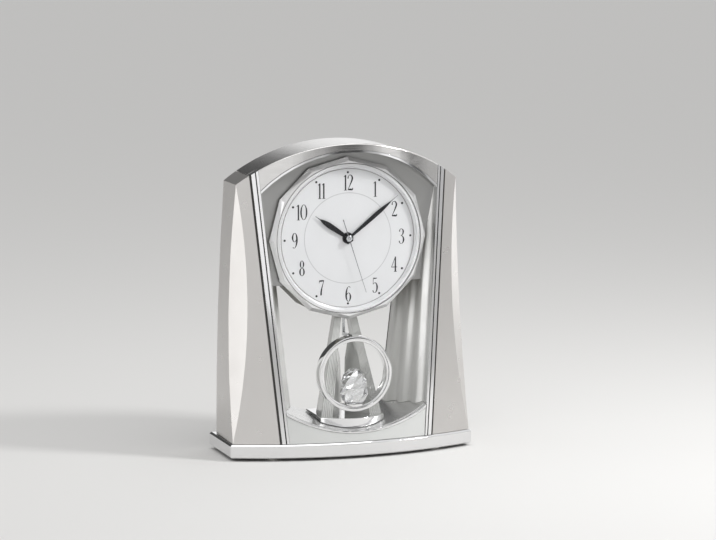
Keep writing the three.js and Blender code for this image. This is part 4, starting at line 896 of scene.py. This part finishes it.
def world():
    """A pale room with a dark side behind on the left, and bright and dark bands in front."""
    studio = bpy.data.worlds.new("studio")
    studio.use_nodes = True
    nodes, links = studio.node_tree.nodes, studio.node_tree.links
    place = nodes.new("ShaderNodeTexCoord")
    split = nodes.new("ShaderNodeSeparateXYZ")
    links.new(place.outputs["Generated"], split.inputs["Vector"])
    x, y, z = (split.outputs[axis] for axis in "XYZ")

    def between(source, start, full, still, end):
        rise = ramped(nodes, links, source, start, full, 0.0, 1.0)
        return worked(nodes, links, "MULTIPLY", rise, ramped(nodes, links, source, still, end, 1.0, 0.0))

    def both(first, second):
        return worked(nodes, links, "MULTIPLY", first, second)

    room = ramped(nodes, links, z, -0.2, 0.8, 0.50, 0.85)
    across = worked(nodes, links, "SUBTRACT", x, worked(nodes, links, "MULTIPLY", z, 0.9))
    window = ramped(nodes, links, across, -0.20, 0.10, 0.07, 1.0)
    behind = ramped(nodes, links, y, 0.30, 0.65, 0.0, 1.0)
    low = ramped(nodes, links, z, 0.50, 0.80, 1.0, 0.0)
    room = blended(nodes, links, both(behind, low), room, window)
    ahead = ramped(nodes, links, y, -0.60, -0.40, 1.0, 0.0)
    front = both(ahead, ramped(nodes, links, z, 0.16, 0.40, 1.0, 0.0))
    # Each band: where it starts, is full, is still full and ends, and how bright it is
    for start, full, still, end, level in (
            (-0.70, -0.55, -0.10, 0.04, 1.00),
            (0.10, 0.22, 0.34, 0.46, 0.08),
            (0.46, 0.52, 0.58, 0.64, 1.10),
            (0.64, 0.67, 0.71, 0.75, 0.15)):
        room = blended(nodes, links, both(front, between(x, start, full, still, end)), room, level)
    back = nodes["Background"]
    links.new(room, back.inputs["Color"])
    back.inputs["Strength"].default_value = 1.0
    bpy.context.scene.world = studio


def lamp(name, place, aim, size, watts, card=False):
    light = bpy.data.lights.new(name, "AREA")
    light.shape = "RECTANGLE"
    light.size, light.size_y = size
    light.energy = watts
    lamp_object = bpy.data.objects.new(name, light)
    lamp_object.location = place
    way = Vector(aim) - Vector(place)
    lamp_object.rotation_euler = way.to_track_quat("-Z", "Y").to_euler()
    lamp_object.visible_camera = False
    lamp_object.visible_transmission = False
    lamp_object.visible_diffuse = not card
    bpy.context.scene.collection.objects.link(lamp_object)


def lamps():
    lamp("key", (0.62, -0.42, 0.76), (0, 0, 0.16), (0.14, 0.14), 5.0)
    lamp("left_card", (-0.62, -0.22, 0.31), (0, -0.20, 0.20), (0.5, 0.6), 1.25, True)
    lamp("right_card", (0.70, 0.42, 0.31), (0.05, 0, 0.20), (0.6, 0.6), 0.9, True)
    lamp("top", (0.0, -0.10, 1.30), (0, 0, 0.13), (1.0, 0.7), 2.4)


def camera():
    azimuth, elevation = math.radians(-18.42), math.radians(8.17)
    distance = 2.1
    target = Vector((0.0131, 0.0095, 0.1342))
    level = math.cos(elevation)
    back = Vector((math.sin(azimuth) * level, -math.cos(azimuth) * level, math.sin(elevation)))
    data = bpy.data.cameras.new("camera")
    data.lens = 140.67
    data.sensor_width = 36.0
    data.sensor_fit = "HORIZONTAL"
    data.clip_start = 0.01
    view = bpy.data.objects.new("camera", data)
    view.location = target + back * distance
    view.rotation_euler = (-back).to_track_quat("-Z", "Y").to_euler()
    bpy.context.scene.collection.objects.link(view)
    bpy.context.scene.camera = view


case_finish()
strip_finish()
wall_finish()
back_finish()
bezel_finish()
dial_finish()
dial_print()
pendulum_finish()
carried_over()
floor()
world()
lamps()
camera()
bpy.context.scene.view_settings.view_transform = "Standard"
